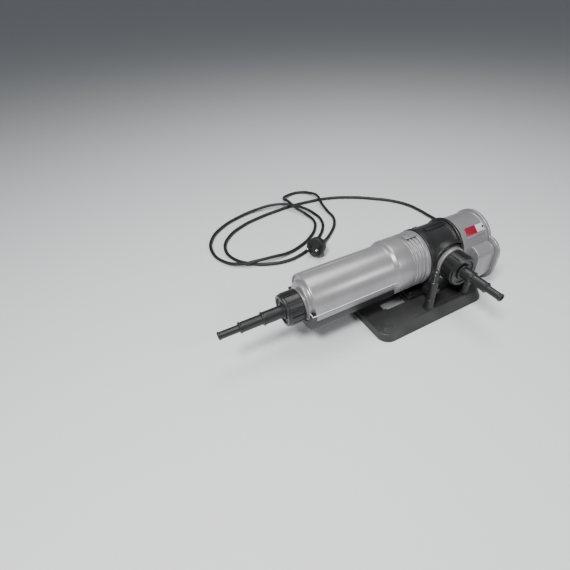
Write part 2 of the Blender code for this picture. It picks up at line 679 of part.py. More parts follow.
def slab(name, start, end, half, low, high, slot, angle=LABEL_ANGLE):
    """A flat bar along X, lying on the head at an angle above the front."""
    mesh = bmesh.new()
    bmesh.ops.create_cube(mesh, size=1.0)
    bmesh.ops.scale(mesh, vec=(end - start, 2 * half, high - low), verts=mesh.verts)
    bmesh.ops.translate(mesh, vec=((start + end) / 2, 0.0, (high + low) / 2), verts=mesh.verts)
    turn = Matrix.Rotation(math.radians(90 - angle), 3, "X")
    bmesh.ops.rotate(mesh, cent=(0, 0, 0), matrix=turn, verts=mesh.verts)
    return finish(name, mesh, slot, (0, 0, 0), smooth=False)


def lamp_head():
    left, right = HEAD_LEFT, HEAD_RIGHT
    outer = [(left, 0.0), (left, HEAD_RADIUS + 0.7), (left + 0.6, HEAD_RADIUS + 1.3)]
    outer += [(left + 5.0, HEAD_RADIUS + 1.3), (left + 6.0, HEAD_RADIUS), (right, HEAD_RADIUS)]
    outer += [(right, 0.0)]
    shell = turned("head_housing", outer, "grey_plastic", (0, 0, 0), ALONG_X, ROUND)
    lobe = prism("lobe_form", along_x(lobe_section(0.0)), LOBE_START, right, "grey_plastic",
                 (0, 0, 0), ALONG_X)
    rail = slab("label_rail_form", left + LABEL_START, left + LABEL_END + 1.0, 1.3, HEAD_RADIUS - 1.5,
                HEAD_RADIUS + 0.9, "grey_plastic", 37.5)
    add(shell, lobe, rail)
    inside = HEAD_RADIUS - HEAD_WALL
    cavity = rod("head_cavity_form", inside, left + HEAD_WALL, right + 1, "grey_plastic", (0, 0, 0),
                 ALONG_X, ROUND)
    pocket = prism("lobe_cavity_form", along_x(lobe_section(-HEAD_WALL)), LOBE_START + HEAD_WALL,
                   right + 1, "grey_plastic", (0, 0, 0), ALONG_X)
    door = rod("socket_way_form", SLEEVE_RADIUS + 2.0, left - 1, left + HEAD_WALL + 1, "grey_plastic",
               (0, 0, 0), ALONG_X, MIDDLE)
    plunger_way = rod("plunger_way_form", PLUNGER_RADIUS + 0.4, left - 1, left + HEAD_WALL + 1,
                      "grey_plastic", (0, 0, PLUNGER_PLACE), ALONG_X, 12)
    bed = slab("label_bed_form", left + LABEL_START, left + LABEL_END, LABEL_HALF + GAP, LABEL_FLOOR,
               HEAD_RADIUS + 5, "grey_plastic")
    cut(shell, cavity, pocket, door, plunger_way, bed)
    split = left + LABEL_START + GAP + WINDOW_LENGTH
    slab("indicator_window", left + LABEL_START + GAP, split, LABEL_HALF, LABEL_FLOOR + GAP,
         HEAD_RADIUS + 0.3, "window_red")
    slab("label_strip", split + GAP, left + LABEL_END - GAP, LABEL_HALF, LABEL_FLOOR + GAP,
         HEAD_RADIUS + 0.1, "label_grey")
    return shell


def head_cover():
    start = HEAD_RIGHT + GAP
    end = start + COVER_WIDTH
    radius = HEAD_RADIUS + COVER_LIP
    plate = prism("head_cover", along_x(cover_section(radius, COVER_LIP * 2.0)), start, end,
                  "grey_plastic", (0, 0, 0), ALONG_X)
    soften(plate, 1.2, 1, 60)
    cut(plate, rod("gland_hole_form", 5.0, start - 1, end + 1, "grey_plastic", GLAND_PLACE, ALONG_X))
    for number, (y, z) in enumerate(COVER_SCREWS, 1):
        cut(plate, rod("cover_hole_form_%d" % number, 1.7, start - 1, end + 1, "grey_plastic",
                       (0, y, z), ALONG_X, 12))
        head = [(start - 0.2, 0.0), (start - 0.2, 1.3), (end + GAP, 1.3), (end + GAP, 3.0)]
        head += [(end + GAP + 0.7, 2.8), (end + GAP + SCREW_HEAD, 1.4), (end + GAP + SCREW_HEAD, 0.0)]
        turned("cover_screw_%d" % number, head, "screw_steel", (0, y, z), ALONG_X, 12)
    gland_end = end + GAP + GLAND_LENGTH
    gland = [(end + GAP, 4.0), (end + GAP, 9.0), (end + GAP + 1.0, 9.6), (gland_end - 3.5, 9.6)]
    gland += [(gland_end - 2.5, 8.2), (gland_end, 7.4), (gland_end, 4.0)]
    turned("cable_gland", gland, "black_plastic", GLAND_PLACE, ALONG_X, SMALL)
    boot = [(gland_end + GAP, 0.0), (gland_end + GAP, 6.4)]
    waves = 4
    for item in range(waves):
        start_at = gland_end + 3.0 + item * 6.5
        size = 6.2 - 0.5 * item
        boot += [(start_at, size), (start_at + 3.8, size - 0.2), (start_at + 4.2, size - 1.0)]
        boot.append((start_at + 5.8, size - 1.1))
    boot += [(gland_end + BOOT_LENGTH, CORD_RADIUS + 0.5), (gland_end + BOOT_LENGTH, 0.0)]
    turned("strain_relief", boot, "black_rubber", GLAND_PLACE, ALONG_X, 16)


BOOT_LENGTH = 32.0
COVER_SCREWS = ((0.0, 38.0), (34.0, -15.0), (-52.0, -22.0))
PLUNGER_RADIUS = 1.1
PLUNGER_PLACE = 39.2


def lock_ring():
    start = TEE_RIGHT + GAP
    end = start + LOCK_RING_WIDTH
    outline = [(start, TEE_BORE + 0.2), (start, FLANGE_RADIUS - 1.0), (start + 1.0, FLANGE_RADIUS)]
    outline += [(end - 1.6, FLANGE_RADIUS), (end, FLANGE_RADIUS - 1.6), (end, TEE_BORE + 0.2)]
    turned("lock_ring", outline, "black_plastic", (0, 0, 0), ALONG_X, ROUND)


def lamp_parts():
    """Everything inside: carrier, sleeve, lamp, socket, switch, ballast and terminals."""
    front = 12.5
    back = HEAD_LEFT - GAP
    spigot = SPIGOT_RADIUS
    groove = front + 3.0
    outer = [(front, SLEEVE_RADIUS + 0.4), (front, spigot), (groove, spigot)]
    outer += [(groove, spigot - GROOVE_DEPTH), (groove + 3.0, spigot - GROOVE_DEPTH)]
    outer += [(groove + 3.0, spigot), (back, spigot), (back, SLEEVE_RADIUS - 2.0)]
    outer += [(back - 2.0, SLEEVE_RADIUS - 2.0), (back - 2.0, SLEEVE_RADIUS + 0.4)]
    turned("lamp_carrier", outer, "black_plastic", (0, 0, 0), ALONG_X, ROUND)
    seal("carrier_seal", spigot - GROOVE_DEPTH / 2 + 0.1, SEAL_THICK - 0.2, groove + 1.5,
         "black_rubber", (0, 0, 0), ALONG_X)
    seat = back - 2.0 - GAP
    inner = SLEEVE_RADIUS - SLEEVE_WALL
    glass = [(-SLEEVE_LEFT, 0.0), (-SLEEVE_LEFT + 1.5, SLEEVE_RADIUS * 0.55)]
    glass += [(-SLEEVE_LEFT + 5.0, SLEEVE_RADIUS * 0.88), (-SLEEVE_LEFT + 10.0, SLEEVE_RADIUS)]
    glass += [(seat, SLEEVE_RADIUS), (seat, inner), (-SLEEVE_LEFT + 10.0, inner)]
    glass += [(-SLEEVE_LEFT + 6.0, inner * 0.82), (-SLEEVE_LEFT + 3.0, inner * 0.5)]
    glass += [(-SLEEVE_LEFT + 2.0, 0.0)]
    turned("quartz_sleeve", glass, "quartz_glass", (0, 0, 0), ALONG_X, 28)
    ring("sleeve_seal", SLEEVE_RADIUS + GAP, SLEEVE_RADIUS + 3.0, front - 2.8, front - GAP,
         "black_rubber", (0, 0, 0), ALONG_X, 28)
    lamp_left = -SLEEVE_LEFT + 12.0
    base_left = -2.0
    tubes = rod("lamp_tubes", LAMP_TUBE_RADIUS, lamp_left, base_left - GAP, "lamp_white",
                (0, LAMP_TUBE_OFFSET, 0), ALONG_X, 16, 1.5)
    add(tubes, rod("lamp_tube_form", LAMP_TUBE_RADIUS, lamp_left, base_left - GAP, "lamp_white",
                   (0, -LAMP_TUBE_OFFSET, 0), ALONG_X, 16, 1.5))
    add(tubes, rod("lamp_link_form", 3.5, -LAMP_TUBE_OFFSET, LAMP_TUBE_OFFSET, "lamp_white",
                   (lamp_left + 12.0, 0, 0), ALONG_MINUS_Y, 12))
    base_right = base_left + 24.0
    block("lamp_base", (base_left, -14.0, -7.5), (base_right, 14.0, 7.5), "lamp_white", 1.2)
    socket_left = base_right + GAP
    socket = block("lamp_socket", (socket_left, -11.0, -8.0), (HEAD_LEFT + 16.0, 11.0, 8.0),
                   "black_plastic", 1.0)
    switch_left = HEAD_LEFT + HEAD_WALL + 6.0
    switch = block("safety_switch", (switch_left, -5.0, PLUNGER_PLACE - 7.0),
                   (switch_left + 10.0, 5.0, PLUNGER_PLACE + 1.2), "black_plastic")
    cut(switch, rod("switch_bore_form", PLUNGER_RADIUS + 0.3, switch_left - 1, switch_left + 6.0,
                    "black_plastic", (0, 0, PLUNGER_PLACE), ALONG_X, 12))
    rod("switch_plunger", PLUNGER_RADIUS, HEAD_LEFT, switch_left + 2.0, "label_grey",
        (0, 0, PLUNGER_PLACE), ALONG_X, 12)
    lobe_in = LOBE_START + HEAD_WALL
    block("ballast_coil", (lobe_in + 1.5, -LOBE_FRONT + HEAD_WALL + 1.5, -38.0),
          (HEAD_RIGHT - 3.0, -36.0, -2.0), "coil_steel", 1.0)
    block("terminal_block", (lobe_in + 4.0, 4.0, -34.0), (HEAD_RIGHT - 6.0, 14.0, -26.0),
          "label_grey", 0.8)
    ring("cable_clamp", CORD_RADIUS + GAP, 4.6, HEAD_RIGHT - 5.0, COVER_RIGHT - 1.0, "black_plastic",
         GLAND_PLACE, ALONG_X, 12)
    return socket


# ------------------------------------------------------------------ cord and plug

# The lead's own route, in millimetres from the tee's centre and above the floor: out of the boot,
# down to the floor, round behind the clarifier, two loose turns and back in a hook to the plug.
CORD_ROUTE = (
    (135.3, 22.0, 53.0), (147.0, 22.3, 51.6), (164.0, 29.0, 39.0), (177.0, 50.0, 18.0),
    (184.0, 80.0, 5.5), (186.0, 112.0, 3.7), (184.0, 150.0, 3.7), (181.0, 190.0, 3.7),
    (180.0, 225.0, 3.7), (174.0, 260.0, 3.7), (156.0, 296.0, 3.7), (122.0, 334.0, 3.7),
    (76.0, 372.0, 3.7), (24.0, 398.0, 3.7), (-30.0, 408.0, 3.7), (-70.0, 410.0, 3.7),
    (-110.0, 407.0, 3.7), (-160.0, 399.0, 3.7), (-212.0, 382.0, 3.7), (-254.0, 352.0, 3.7),
    (-276.0, 312.0, 3.7), (-274.0, 268.0, 3.7), (-250.0, 232.0, 3.7), (-216.0, 210.0, 3.7),
    (-180.0, 202.0, 3.7), (-150.0, 207.0, 3.7), (-120.0, 221.0, 3.7), (-90.0, 243.0, 3.7),
    (-62.0, 272.0, 3.7), (-45.0, 306.0, 3.7), (-43.0, 342.0, 4.6), (-56.0, 376.0, 9.0),
    (-78.0, 404.0, 11.4), (-112.0, 426.0, 10.6), (-155.0, 435.0, 6.0), (-204.0, 426.0, 4.0),
    (-252.0, 402.0, 3.7), (-288.0, 364.0, 3.7), (-303.0, 316.0, 3.7), (-294.0, 268.0, 3.8),
    (-268.0, 236.0, 7.0), (-240.0, 224.0, 11.0), (-205.0, 221.0, 10.0), (-171.0, 225.0, 5.0),
    (-135.0, 237.0, 3.7), (-103.0, 256.0, 3.7), (-76.0, 283.0, 3.7), (-60.0, 316.0, 3.7),
    (-62.0, 350.0, 5.5), (-72.0, 378.0, 10.8), (-80.0, 408.0, 18.8), (-78.0, 440.0, 12.0),
    (-54.0, 466.0, 5.0), (-20.0, 468.0, 3.7), (2.0, 442.0, 6.0), (2.0, 408.0, 11.2),
    (-7.0, 372.0, 9.0), (-10.0, 338.0, 4.5), (-14.0, 304.0, 3.7), (-30.0, 274.0, 3.7),
    (-50.0, 252.0, 3.7), (-70.0, 234.4, 4.2), (-85.4, 221.6, 6.8),
)
CORD_STRIDE = 27.0


def smooth_route(points, stride):
    """Points of a smooth curve through the route's own points, about a stride apart."""
    knots = [Vector(point) for point in points]
    spaced = [knots[0]]
    for index in range(len(knots) - 1):
        before = knots[max(index - 1, 0)]
        start, end = knots[index], knots[index + 1]
        after = knots[min(index + 2, len(knots) - 1)]
        pieces = max(1, round((end - start).length / stride))
        for step in range(1, pieces + 1):
            t = step / pieces
            bend = 2 * before - 5 * start + 4 * end - after
            swing = 3 * start - before - 3 * end + after
            spaced.append(0.5 * (2 * start + (end - before) * t + bend * t * t + swing * t ** 3))
    return spaced


def power_cord():
    curve = bpy.data.curves.new("power_cord", "CURVE")
    curve.dimensions = "3D"
    curve.bevel_depth = CORD_RADIUS * MM
    curve.bevel_resolution = 2
    curve.use_fill_caps = True
    points = smooth_route(CORD_ROUTE, CORD_STRIDE)
    line = curve.splines.new("POLY")
    line.points.add(len(points) - 1)
    for knot, point in zip(line.points, points):
        place = to_world(point.x, point.y, point.z - AXIS_HEIGHT)
        knot.co = (*place, 1.0)
    piece = bpy.data.objects.new("power_cord", curve)
    curve.materials.append(material("black_rubber"))
    bpy.context.scene.collection.objects.link(piece)
    return piece


PLUG_RADIUS = 18.4
PLUG_LENGTH = 58.0
PLUG_TILT = 17.0             # it lies on its back rim and its neck
PIN_LENGTH = 19.0


def plug():
    """Round mains plug with a long neck, its two pins pointing away from the cord."""
    end = Vector(CORD_ROUTE[-1])
    flat = end - Vector(CORD_ROUTE[-2])
    angle = math.atan2(flat.y, flat.x)
    turn = (0.0, math.radians(90 - PLUG_TILT), angle)
    at = Vector((end.x, end.y, end.z - AXIS_HEIGHT))
    start = GAP + 0.9
    body = [(start, 0.0), (start, CORD_RADIUS + 0.9), (start + 8, CORD_RADIUS + 1.8)]
    body += [(start + 24, CORD_RADIUS + 4.0), (start + 31, 11.0), (start + 37, PLUG_RADIUS - 1.4)]
    body += [(start + 40, PLUG_RADIUS), (PLUG_LENGTH - 1.0, PLUG_RADIUS)]
    body += [(PLUG_LENGTH, PLUG_RADIUS - 1.0), (PLUG_LENGTH, 0.0)]
    turned("plug_body", body, "black_rubber", at, turn, 24)
    face = PLUG_LENGTH + GAP
    side = Vector((-math.sin(angle), math.cos(angle), 0.0))
    for name, way in (("left", -1), ("right", 1)):
        rod("plug_pin_" + name, 2.4, face, face + PIN_LENGTH, "pin_nickel", at + side * (9.5 * way),
            turn, 12, 0.6)


def main():
    clear_scene()
    base()
    tee()
    tee_screws()
    chamber()
    unions()
    lock_ring()
    lamp_head()
    head_cover()
    lamp_parts()
    power_cord()
    plug()


main()
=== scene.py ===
"""Looks of an in-line UV clarifier: finished surfaces, lead, light and camera."""

import json
import math

import bpy
from mathutils import Matrix, Vector


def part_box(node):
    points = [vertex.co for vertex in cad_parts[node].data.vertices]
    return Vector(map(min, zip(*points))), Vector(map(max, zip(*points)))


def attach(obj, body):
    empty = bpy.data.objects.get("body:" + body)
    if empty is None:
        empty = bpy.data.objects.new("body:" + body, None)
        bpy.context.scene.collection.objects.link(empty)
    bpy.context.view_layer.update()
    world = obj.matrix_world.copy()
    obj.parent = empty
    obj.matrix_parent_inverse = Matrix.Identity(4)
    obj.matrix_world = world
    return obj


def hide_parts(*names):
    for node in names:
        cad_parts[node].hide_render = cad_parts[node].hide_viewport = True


MM = 0.001
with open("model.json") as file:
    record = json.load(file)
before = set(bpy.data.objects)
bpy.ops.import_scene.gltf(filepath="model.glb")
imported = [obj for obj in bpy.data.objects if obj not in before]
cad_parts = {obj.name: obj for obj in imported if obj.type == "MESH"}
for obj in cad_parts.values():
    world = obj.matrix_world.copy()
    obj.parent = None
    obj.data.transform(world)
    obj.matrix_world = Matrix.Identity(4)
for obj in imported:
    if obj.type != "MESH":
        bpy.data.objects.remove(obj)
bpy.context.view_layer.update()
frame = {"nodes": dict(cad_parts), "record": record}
bpy.ops.object.select_all(action="DESELECT")


def middle(node):
    low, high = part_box(node)
    return (Vector(low) + Vector(high)) / 2


TEE = Vector((middle("front_nut").x, middle("lock_ring").y, middle("front_nut").z))
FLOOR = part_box("base_bracket")[0][2]
TO_LAMP = Vector((1, 0, 0))
TO_END = Vector((-1, 0, 0))
TO_FRONT = Vector((0, -1, 0))
TO_BACK = Vector((0, 1, 0))
UP = Vector((0, 0, 1))


def place(x=0.0, y=0.0, z=0.0):
    """A point given in millimetres from the tee's centre."""
    return TEE + Vector((x, y, z)) * MM


# ------------------------------------------------------------------ materials

def new_material(name):
    made = bpy.data.materials.new(name)
    made.use_nodes = True
    return made, made.node_tree.nodes, made.node_tree.links


def add_grain(nodes, links, shader, scale, low, high, depth):
    """Fine moulding grain: it breaks up the gloss and lifts the surface a little."""
    coords = nodes.new("ShaderNodeTexCoord")
    grain = nodes.new("ShaderNodeTexNoise")
    grain.inputs["Scale"].default_value = scale
    grain.inputs["Detail"].default_value = 4.0
    links.new(coords.outputs["Object"], grain.inputs["Vector"])
    spread = nodes.new("ShaderNodeMapRange")
    spread.inputs["To Min"].default_value = low
    spread.inputs["To Max"].default_value = high
    links.new(grain.outputs["Fac"], spread.inputs["Value"])
    links.new(spread.outputs["Result"], shader.inputs["Roughness"])
    bump = nodes.new("ShaderNodeBump")
    bump.inputs["Strength"].default_value = 0.25
    bump.inputs["Distance"].default_value = depth
    links.new(grain.outputs["Fac"], bump.inputs["Height"])
    links.new(bump.outputs["Normal"], shader.inputs["Normal"])
    return coords


def add_tone(nodes, links, shader, coords, first, second, scale):
    """Slow drift between two tones of one colour."""
    cloud = nodes.new("ShaderNodeTexNoise")
    cloud.inputs["Scale"].default_value = scale
    cloud.inputs["Detail"].default_value = 3.0
    links.new(coords.outputs["Object"], cloud.inputs["Vector"])
    tones = nodes.new("ShaderNodeValToRGB")
    tones.color_ramp.elements[0].position = 0.35
    tones.color_ramp.elements[0].color = (*first, 1.0)
    tones.color_ramp.elements[1].position = 0.65
    tones.color_ramp.elements[1].color = (*second, 1.0)
    links.new(cloud.outputs["Fac"], tones.inputs["Fac"])
    links.new(tones.outputs["Color"], shader.inputs["Base Color"])


def grained(name, first, second, low, high, metallic=0.0, scale=1400.0, depth=0.00004, tone=30.0):
    made, nodes, links = new_material(name)
    shader = nodes["Principled BSDF"]
    shader.inputs["Metallic"].default_value = metallic
    coords = add_grain(nodes, links, shader, scale, low, high, depth)
    add_tone(nodes, links, shader, coords, first, second, tone)
    return made


def striped(name, first, second, axis, scale, rough, depth):
    """A surface with fine parallel lines across one axis."""
    made, nodes, links = new_material(name)
    shader = nodes["Principled BSDF"]
    shader.inputs["Roughness"].default_value = rough
    coords = nodes.new("ShaderNodeTexCoord")
    lines = nodes.new("ShaderNodeTexWave")
    lines.bands_direction = axis
    lines.inputs["Scale"].default_value = scale
    lines.inputs["Distortion"].default_value = 0.3
    links.new(coords.outputs["Object"], lines.inputs["Vector"])
    tones = nodes.new("ShaderNodeValToRGB")
    tones.color_ramp.elements[0].color = (*first, 1.0)
    tones.color_ramp.elements[1].color = (*second, 1.0)
    links.new(lines.outputs["Fac"], tones.inputs["Fac"])
    links.new(tones.outputs["Color"], shader.inputs["Base Color"])
    bump = nodes.new("ShaderNodeBump")
    bump.inputs["Strength"].default_value = 0.4
    bump.inputs["Distance"].default_value = depth
    links.new(lines.outputs["Fac"], bump.inputs["Height"])
    links.new(bump.outputs["Normal"], shader.inputs["Normal"])
    return made


def clear_quartz():
    made = grained("clear_quartz", (0.93, 0.96, 0.98), (0.97, 0.98, 1.0), 0.02, 0.05, 0.0, 300.0,
                   0.00001)
    shader = made.node_tree.nodes["Principled BSDF"]
    shader.inputs["Transmission Weight"].default_value = 1.0
    shader.inputs["IOR"].default_value = 1.46
    return made


def red_lens():
    made = striped("red_lens", (0.20, 0.002, 0.012), (0.34, 0.006, 0.03), "X", 260.0, 0.36, 0.0001)
    made.node_tree.nodes["Principled BSDF"].inputs["Coat Weight"].default_value = 0.15
    return made


SILVER = grained("silver_plastic", (0.30, 0.296, 0.303), (0.335, 0.33, 0.338), 0.27, 0.38, 0.45)
# Light silver for thin strips along the keel's lip: a painted highlight on that sharp edge, brighter
# than the silver it sits on.
EDGE_PAINTED_HIGHLIGHT = grained("edge_painted_highlight", (0.72, 0.72, 0.73), (0.80, 0.80, 0.81), 0.25, 0.35, 0.1)
# Silver darkened as painted shade: the chamber's lower walls are the same silver plastic, and this
# dark tone paints the shade they lie in.
SILVER_PAINTED_SHADE = grained("silver_painted_shade", (0.012, 0.012, 0.0125), (0.018, 0.018, 0.0185), 0.34, 0.46,
                   0.1)
DECK = grained("deck_plastic", (0.026, 0.026, 0.0265), (0.036, 0.036, 0.0365), 0.42, 0.56)
DARK_STEEL = grained("dark_steel", (0.10, 0.10, 0.10), (0.15, 0.15, 0.15), 0.32, 0.45, 0.8, 900.0,
                     0.00002)
BLACK = grained("black_plastic", (0.012, 0.012, 0.0125), (0.018, 0.018, 0.0185), 0.30, 0.44)
RUBBER = grained("black_rubber", (0.006, 0.006, 0.006), (0.010, 0.010, 0.010), 0.42, 0.60)
STEEL = grained("screw_steel", (0.62, 0.62, 0.62), (0.70, 0.70, 0.70), 0.18, 0.32, 1.0, 900.0,
                0.00002)
NICKEL = grained("pin_nickel", (0.70, 0.67, 0.60), (0.78, 0.75, 0.70), 0.14, 0.26, 1.0, 900.0,
                 0.00002)
LAMP = grained("lamp_glass", (0.80, 0.81, 0.83), (0.88, 0.89, 0.90), 0.15, 0.25, 0.0, 300.0,
               0.00001)
LABEL = grained("label_plastic", (0.52, 0.52, 0.53), (0.58, 0.58, 0.59), 0.35, 0.45)
COIL = striped("coil_plates", (0.06, 0.05, 0.045), (0.22, 0.20, 0.18), "X", 300.0, 0.5, 0.0002)
QUARTZ = clear_quartz()
RED = red_lens()


# ------------------------------------------------------------------ modelling

def only(piece):
    bpy.ops.object.select_all(action="DESELECT")
    piece.select_set(True)
    bpy.context.view_layer.objects.active = piece


def smooth(piece, angle=32):
    only(piece)
    bpy.ops.object.shade_smooth_by_angle(angle=math.radians(angle))
    return piece


def sketch(name, points):
    """One vertex drawn out from point to point."""
    bpy.ops.object.select_all(action="DESELECT")
    bpy.ops.mesh.primitive_plane_add(size=0.001, location=(0, 0, 0))
    piece = bpy.context.object
    piece.name = name
    piece.data.name = name
    bpy.ops.object.mode_set(mode="EDIT")
    bpy.ops.mesh.select_mode(type="VERT")
    bpy.ops.mesh.select_all(action="SELECT")
    bpy.ops.mesh.merge(type="CENTER")
    bpy.ops.transform.translate(value=points[0])
    for before, after in zip(points, points[1:]):
        bpy.ops.mesh.extrude_vertices_move(TRANSFORM_OT_translate={"value": after - before})
    return piece


def tidy_mesh():
    """Close seams and turn the faces outwards, in edit mode, then leave it."""
    bpy.ops.mesh.select_all(action="SELECT")
    bpy.ops.mesh.remove_doubles(threshold=0.000004)
    bpy.ops.mesh.normals_make_consistent(inside=False)
    bpy.ops.object.mode_set(mode="OBJECT")


def eased(points, radius=0.6, steps=3):
    """Round the corners of an outline by a small curve."""
    made = [points[0]]
    for before, corner, after in zip(points, points[1:], points[2:]):
        before, corner, after = Vector(before), Vector(corner), Vector(after)
        back, ahead = before - corner, after - corner
        reach = min(radius, back.length * 0.45, ahead.length * 0.45)
        if reach < 0.05:
            made.append(tuple(corner))
            continue
        start = corner + back.normalized() * reach
        end = corner + ahead.normalized() * reach
        for step in range(steps + 1):
            t = step / steps
            made.append(tuple(start * (1 - t) ** 2 + corner * (2 * t * (1 - t)) + end * t * t))
    made.append(points[-1])
    return made


def lathe(name, outline, foot, axis, sides=72):
    """Turn an outline of (distance along the axis, radius), in millimetres, round an axis."""
    side = TO_LAMP if abs(axis.z) > 0.9 else (UP - axis * axis.z).normalized()
    points = [foot + axis * (run * MM) + side * (radius * MM) for run, radius in outline]
    piece = sketch(name, points)
    bpy.ops.mesh.select_all(action="SELECT")
    bpy.ops.mesh.spin(steps=sides, angle=2 * math.pi, center=foot, axis=axis)
    tidy_mesh()
    return smooth(piece)


def tube(name, outline, foot, axis, sides=72, ease=0.5):
    """Turn a closed outline, such as a ring's section."""
    loop = eased([outline[-1]] + list(outline) + [outline[0]], ease)[1:-1]
    return lathe(name, loop + [loop[0]], foot, axis, sides)


def pushed(name, points, way, angle=32):
    """A closed outline of world points, pushed along a vector."""
    piece = sketch(name, points)
    bpy.ops.mesh.select_all(action="SELECT")
    bpy.ops.mesh.edge_face_add()
    bpy.ops.mesh.select_all(action="SELECT")
    bpy.ops.mesh.extrude_region_move(TRANSFORM_OT_translate={"value": way})
    tidy_mesh()
    return smooth(piece, angle)


def finish_edges(piece, width, segments=3, angle=35):
    only(piece)
    step = piece.modifiers.new("edges", "BEVEL")
    step.width = width * MM
    step.segments = segments
    step.limit_method = "ANGLE"
    step.angle_limit = math.radians(angle)
    bpy.ops.object.modifier_apply(modifier=step.name)
    return smooth(piece)


def bar(name, low, high, edge=0.8, segments=3):
    """A box between two corners in millimetres from the tee's centre, with rounded edges."""
    bpy.ops.object.select_all(action="DESELECT")
    low, high = Vector(low), Vector(high)
    bpy.ops.mesh.primitive_cube_add(size=1.0, location=place(*((low + high) / 2)),
                                    scale=(high - low) * MM)
    piece = bpy.context.object
    piece.name = name
    piece.data.name = name
    bpy.ops.object.transform_apply(location=True, rotation=True, scale=True)
    return finish_edges(piece, edge, segments) if edge else piece


def joined(name, *pieces):
    """Several loose pieces made one object."""
    only(pieces[0])
    for piece in pieces[1:]:
        piece.select_set(True)
    bpy.ops.object.join()
    pieces[0].name = name
    pieces[0].data.name = name
    return pieces[0]


def shape(piece, other, operation):
    only(piece)
    step = piece.modifiers.new(operation.lower(), "BOOLEAN")
    step.operation = operation
    step.solver = "EXACT"
    step.object = other
    bpy.ops.object.modifier_apply(modifier=step.name)
    bpy.data.objects.remove(other, do_unlink=True)
    return piece


def fuse(piece, *others):
    for other in others:
        shape(piece, other, "UNION")
    return smooth(piece)


def carve(piece, *others):
    for other in others:
        shape(piece, other, "DIFFERENCE")
    return smooth(piece)


def turn_about(piece, centre, axis, degrees):
    """Turn a finished mesh about an axis through a point."""
    centre = Vector(centre)
    turn = Matrix.Rotation(math.radians(degrees), 4, axis)
    piece.data.transform(Matrix.Translation(centre) @ turn @ Matrix.Translation(-centre))
    return piece


def pick(piece, test):
    """Select the faces that pass a test of their centre and normal, and enter edit mode."""
    only(piece)
    bpy.ops.object.mode_set(mode="EDIT")
    bpy.ops.mesh.select_mode(type="FACE")
    bpy.ops.mesh.select_all(action="DESELECT")
    bpy.ops.object.mode_set(mode="OBJECT")
    for face in piece.data.polygons:
        face.select = test(face.center, face.normal)
    bpy.ops.object.mode_set(mode="EDIT")


def dress(piece, material, body, slot, *nodes):
    """Give a piece its material, its body, and the parts it stands for."""
    piece.data.materials.clear()
    piece.data.materials.append(material)
    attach(piece, body)
    if nodes:
        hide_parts(*nodes)
    return piece


def arc(centre_x, centre_y, radius, first, last, steps):
    points = []
    for step in range(steps + 1):
        angle = math.radians(first + (last - first) * step / steps)
        points.append((centre_x + radius * math.cos(angle), centre_y + radius * math.sin(angle)))
    return points


# ------------------------------------------------------------------ lead and plug

CORD_DIAMETER = 0.0065
# The lead's own route in metres, from the tee's centre and above the floor.
CORD_ROUTE = (
    (0.1353, 0.022, 0.053), (0.147, 0.0223, 0.0516), (0.164, 0.029, 0.039),
    (0.177, 0.050, 0.018), (0.184, 0.080, 0.0055), (0.186, 0.112, 0.0037),
    (0.184, 0.150, 0.0037), (0.181, 0.190, 0.0037), (0.180, 0.225, 0.0037),
    (0.174, 0.260, 0.0037), (0.156, 0.296, 0.0037), (0.122, 0.334, 0.0037),
    (0.076, 0.372, 0.0037), (0.024, 0.398, 0.0037), (-0.030, 0.408, 0.0037),
    (-0.070, 0.410, 0.0037), (-0.110, 0.407, 0.0037), (-0.160, 0.399, 0.0037),
    (-0.212, 0.382, 0.0037), (-0.254, 0.352, 0.0037), (-0.276, 0.312, 0.0037),
    (-0.274, 0.268, 0.0037), (-0.250, 0.232, 0.0037), (-0.216, 0.210, 0.0037),
    (-0.180, 0.202, 0.0037), (-0.150, 0.207, 0.0037), (-0.120, 0.221, 0.0037),
    (-0.090, 0.243, 0.0037), (-0.062, 0.272, 0.0037), (-0.045, 0.306, 0.0037),
    (-0.043, 0.342, 0.0046), (-0.056, 0.376, 0.009), (-0.078, 0.404, 0.0114),
    (-0.112, 0.426, 0.0106), (-0.155, 0.435, 0.006), (-0.204, 0.426, 0.004),
    (-0.252, 0.402, 0.0037), (-0.288, 0.364, 0.0037), (-0.303, 0.316, 0.0037),
    (-0.294, 0.268, 0.0038), (-0.268, 0.236, 0.007), (-0.240, 0.224, 0.011),
    (-0.205, 0.221, 0.010), (-0.171, 0.225, 0.005), (-0.135, 0.237, 0.0037),
    (-0.103, 0.256, 0.0037), (-0.076, 0.283, 0.0037), (-0.060, 0.316, 0.0037),
    (-0.062, 0.350, 0.0055), (-0.072, 0.378, 0.0108), (-0.080, 0.408, 0.0188),
    (-0.078, 0.440, 0.012), (-0.054, 0.466, 0.005), (-0.020, 0.468, 0.0037),
    (0.002, 0.442, 0.006), (0.002, 0.408, 0.0112), (-0.007, 0.372, 0.009),
    (-0.010, 0.338, 0.0045), (-0.014, 0.304, 0.0037), (-0.030, 0.274, 0.0037),
    (-0.050, 0.252, 0.0037), (-0.070, 0.2344, 0.0042), (-0.0854, 0.2216, 0.0068),
)


def route_point(point):
    return Vector((TEE.x + point[0], TEE.y + point[1], FLOOR + point[2]))


def power_lead():
    curve = bpy.data.curves.new("lead", "CURVE")
    curve.dimensions = "3D"
    curve.bevel_depth = CORD_DIAMETER / 2
    curve.bevel_resolution = 6
    curve.resolution_u = 8
    curve.use_fill_caps = True
    line = curve.splines.new("BEZIER")
    line.bezier_points.add(len(CORD_ROUTE) - 1)
    for knot, point in zip(line.bezier_points, CORD_ROUTE):
        knot.co = route_point(point)
        knot.handle_left_type = "AUTO"
        knot.handle_right_type = "AUTO"
    lead = bpy.data.objects.new("lead", curve)
    bpy.context.scene.collection.objects.link(lead)
    curve.materials.append(RUBBER)
    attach(lead, "lamp_head")
    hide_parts("power_cord")
    return lead


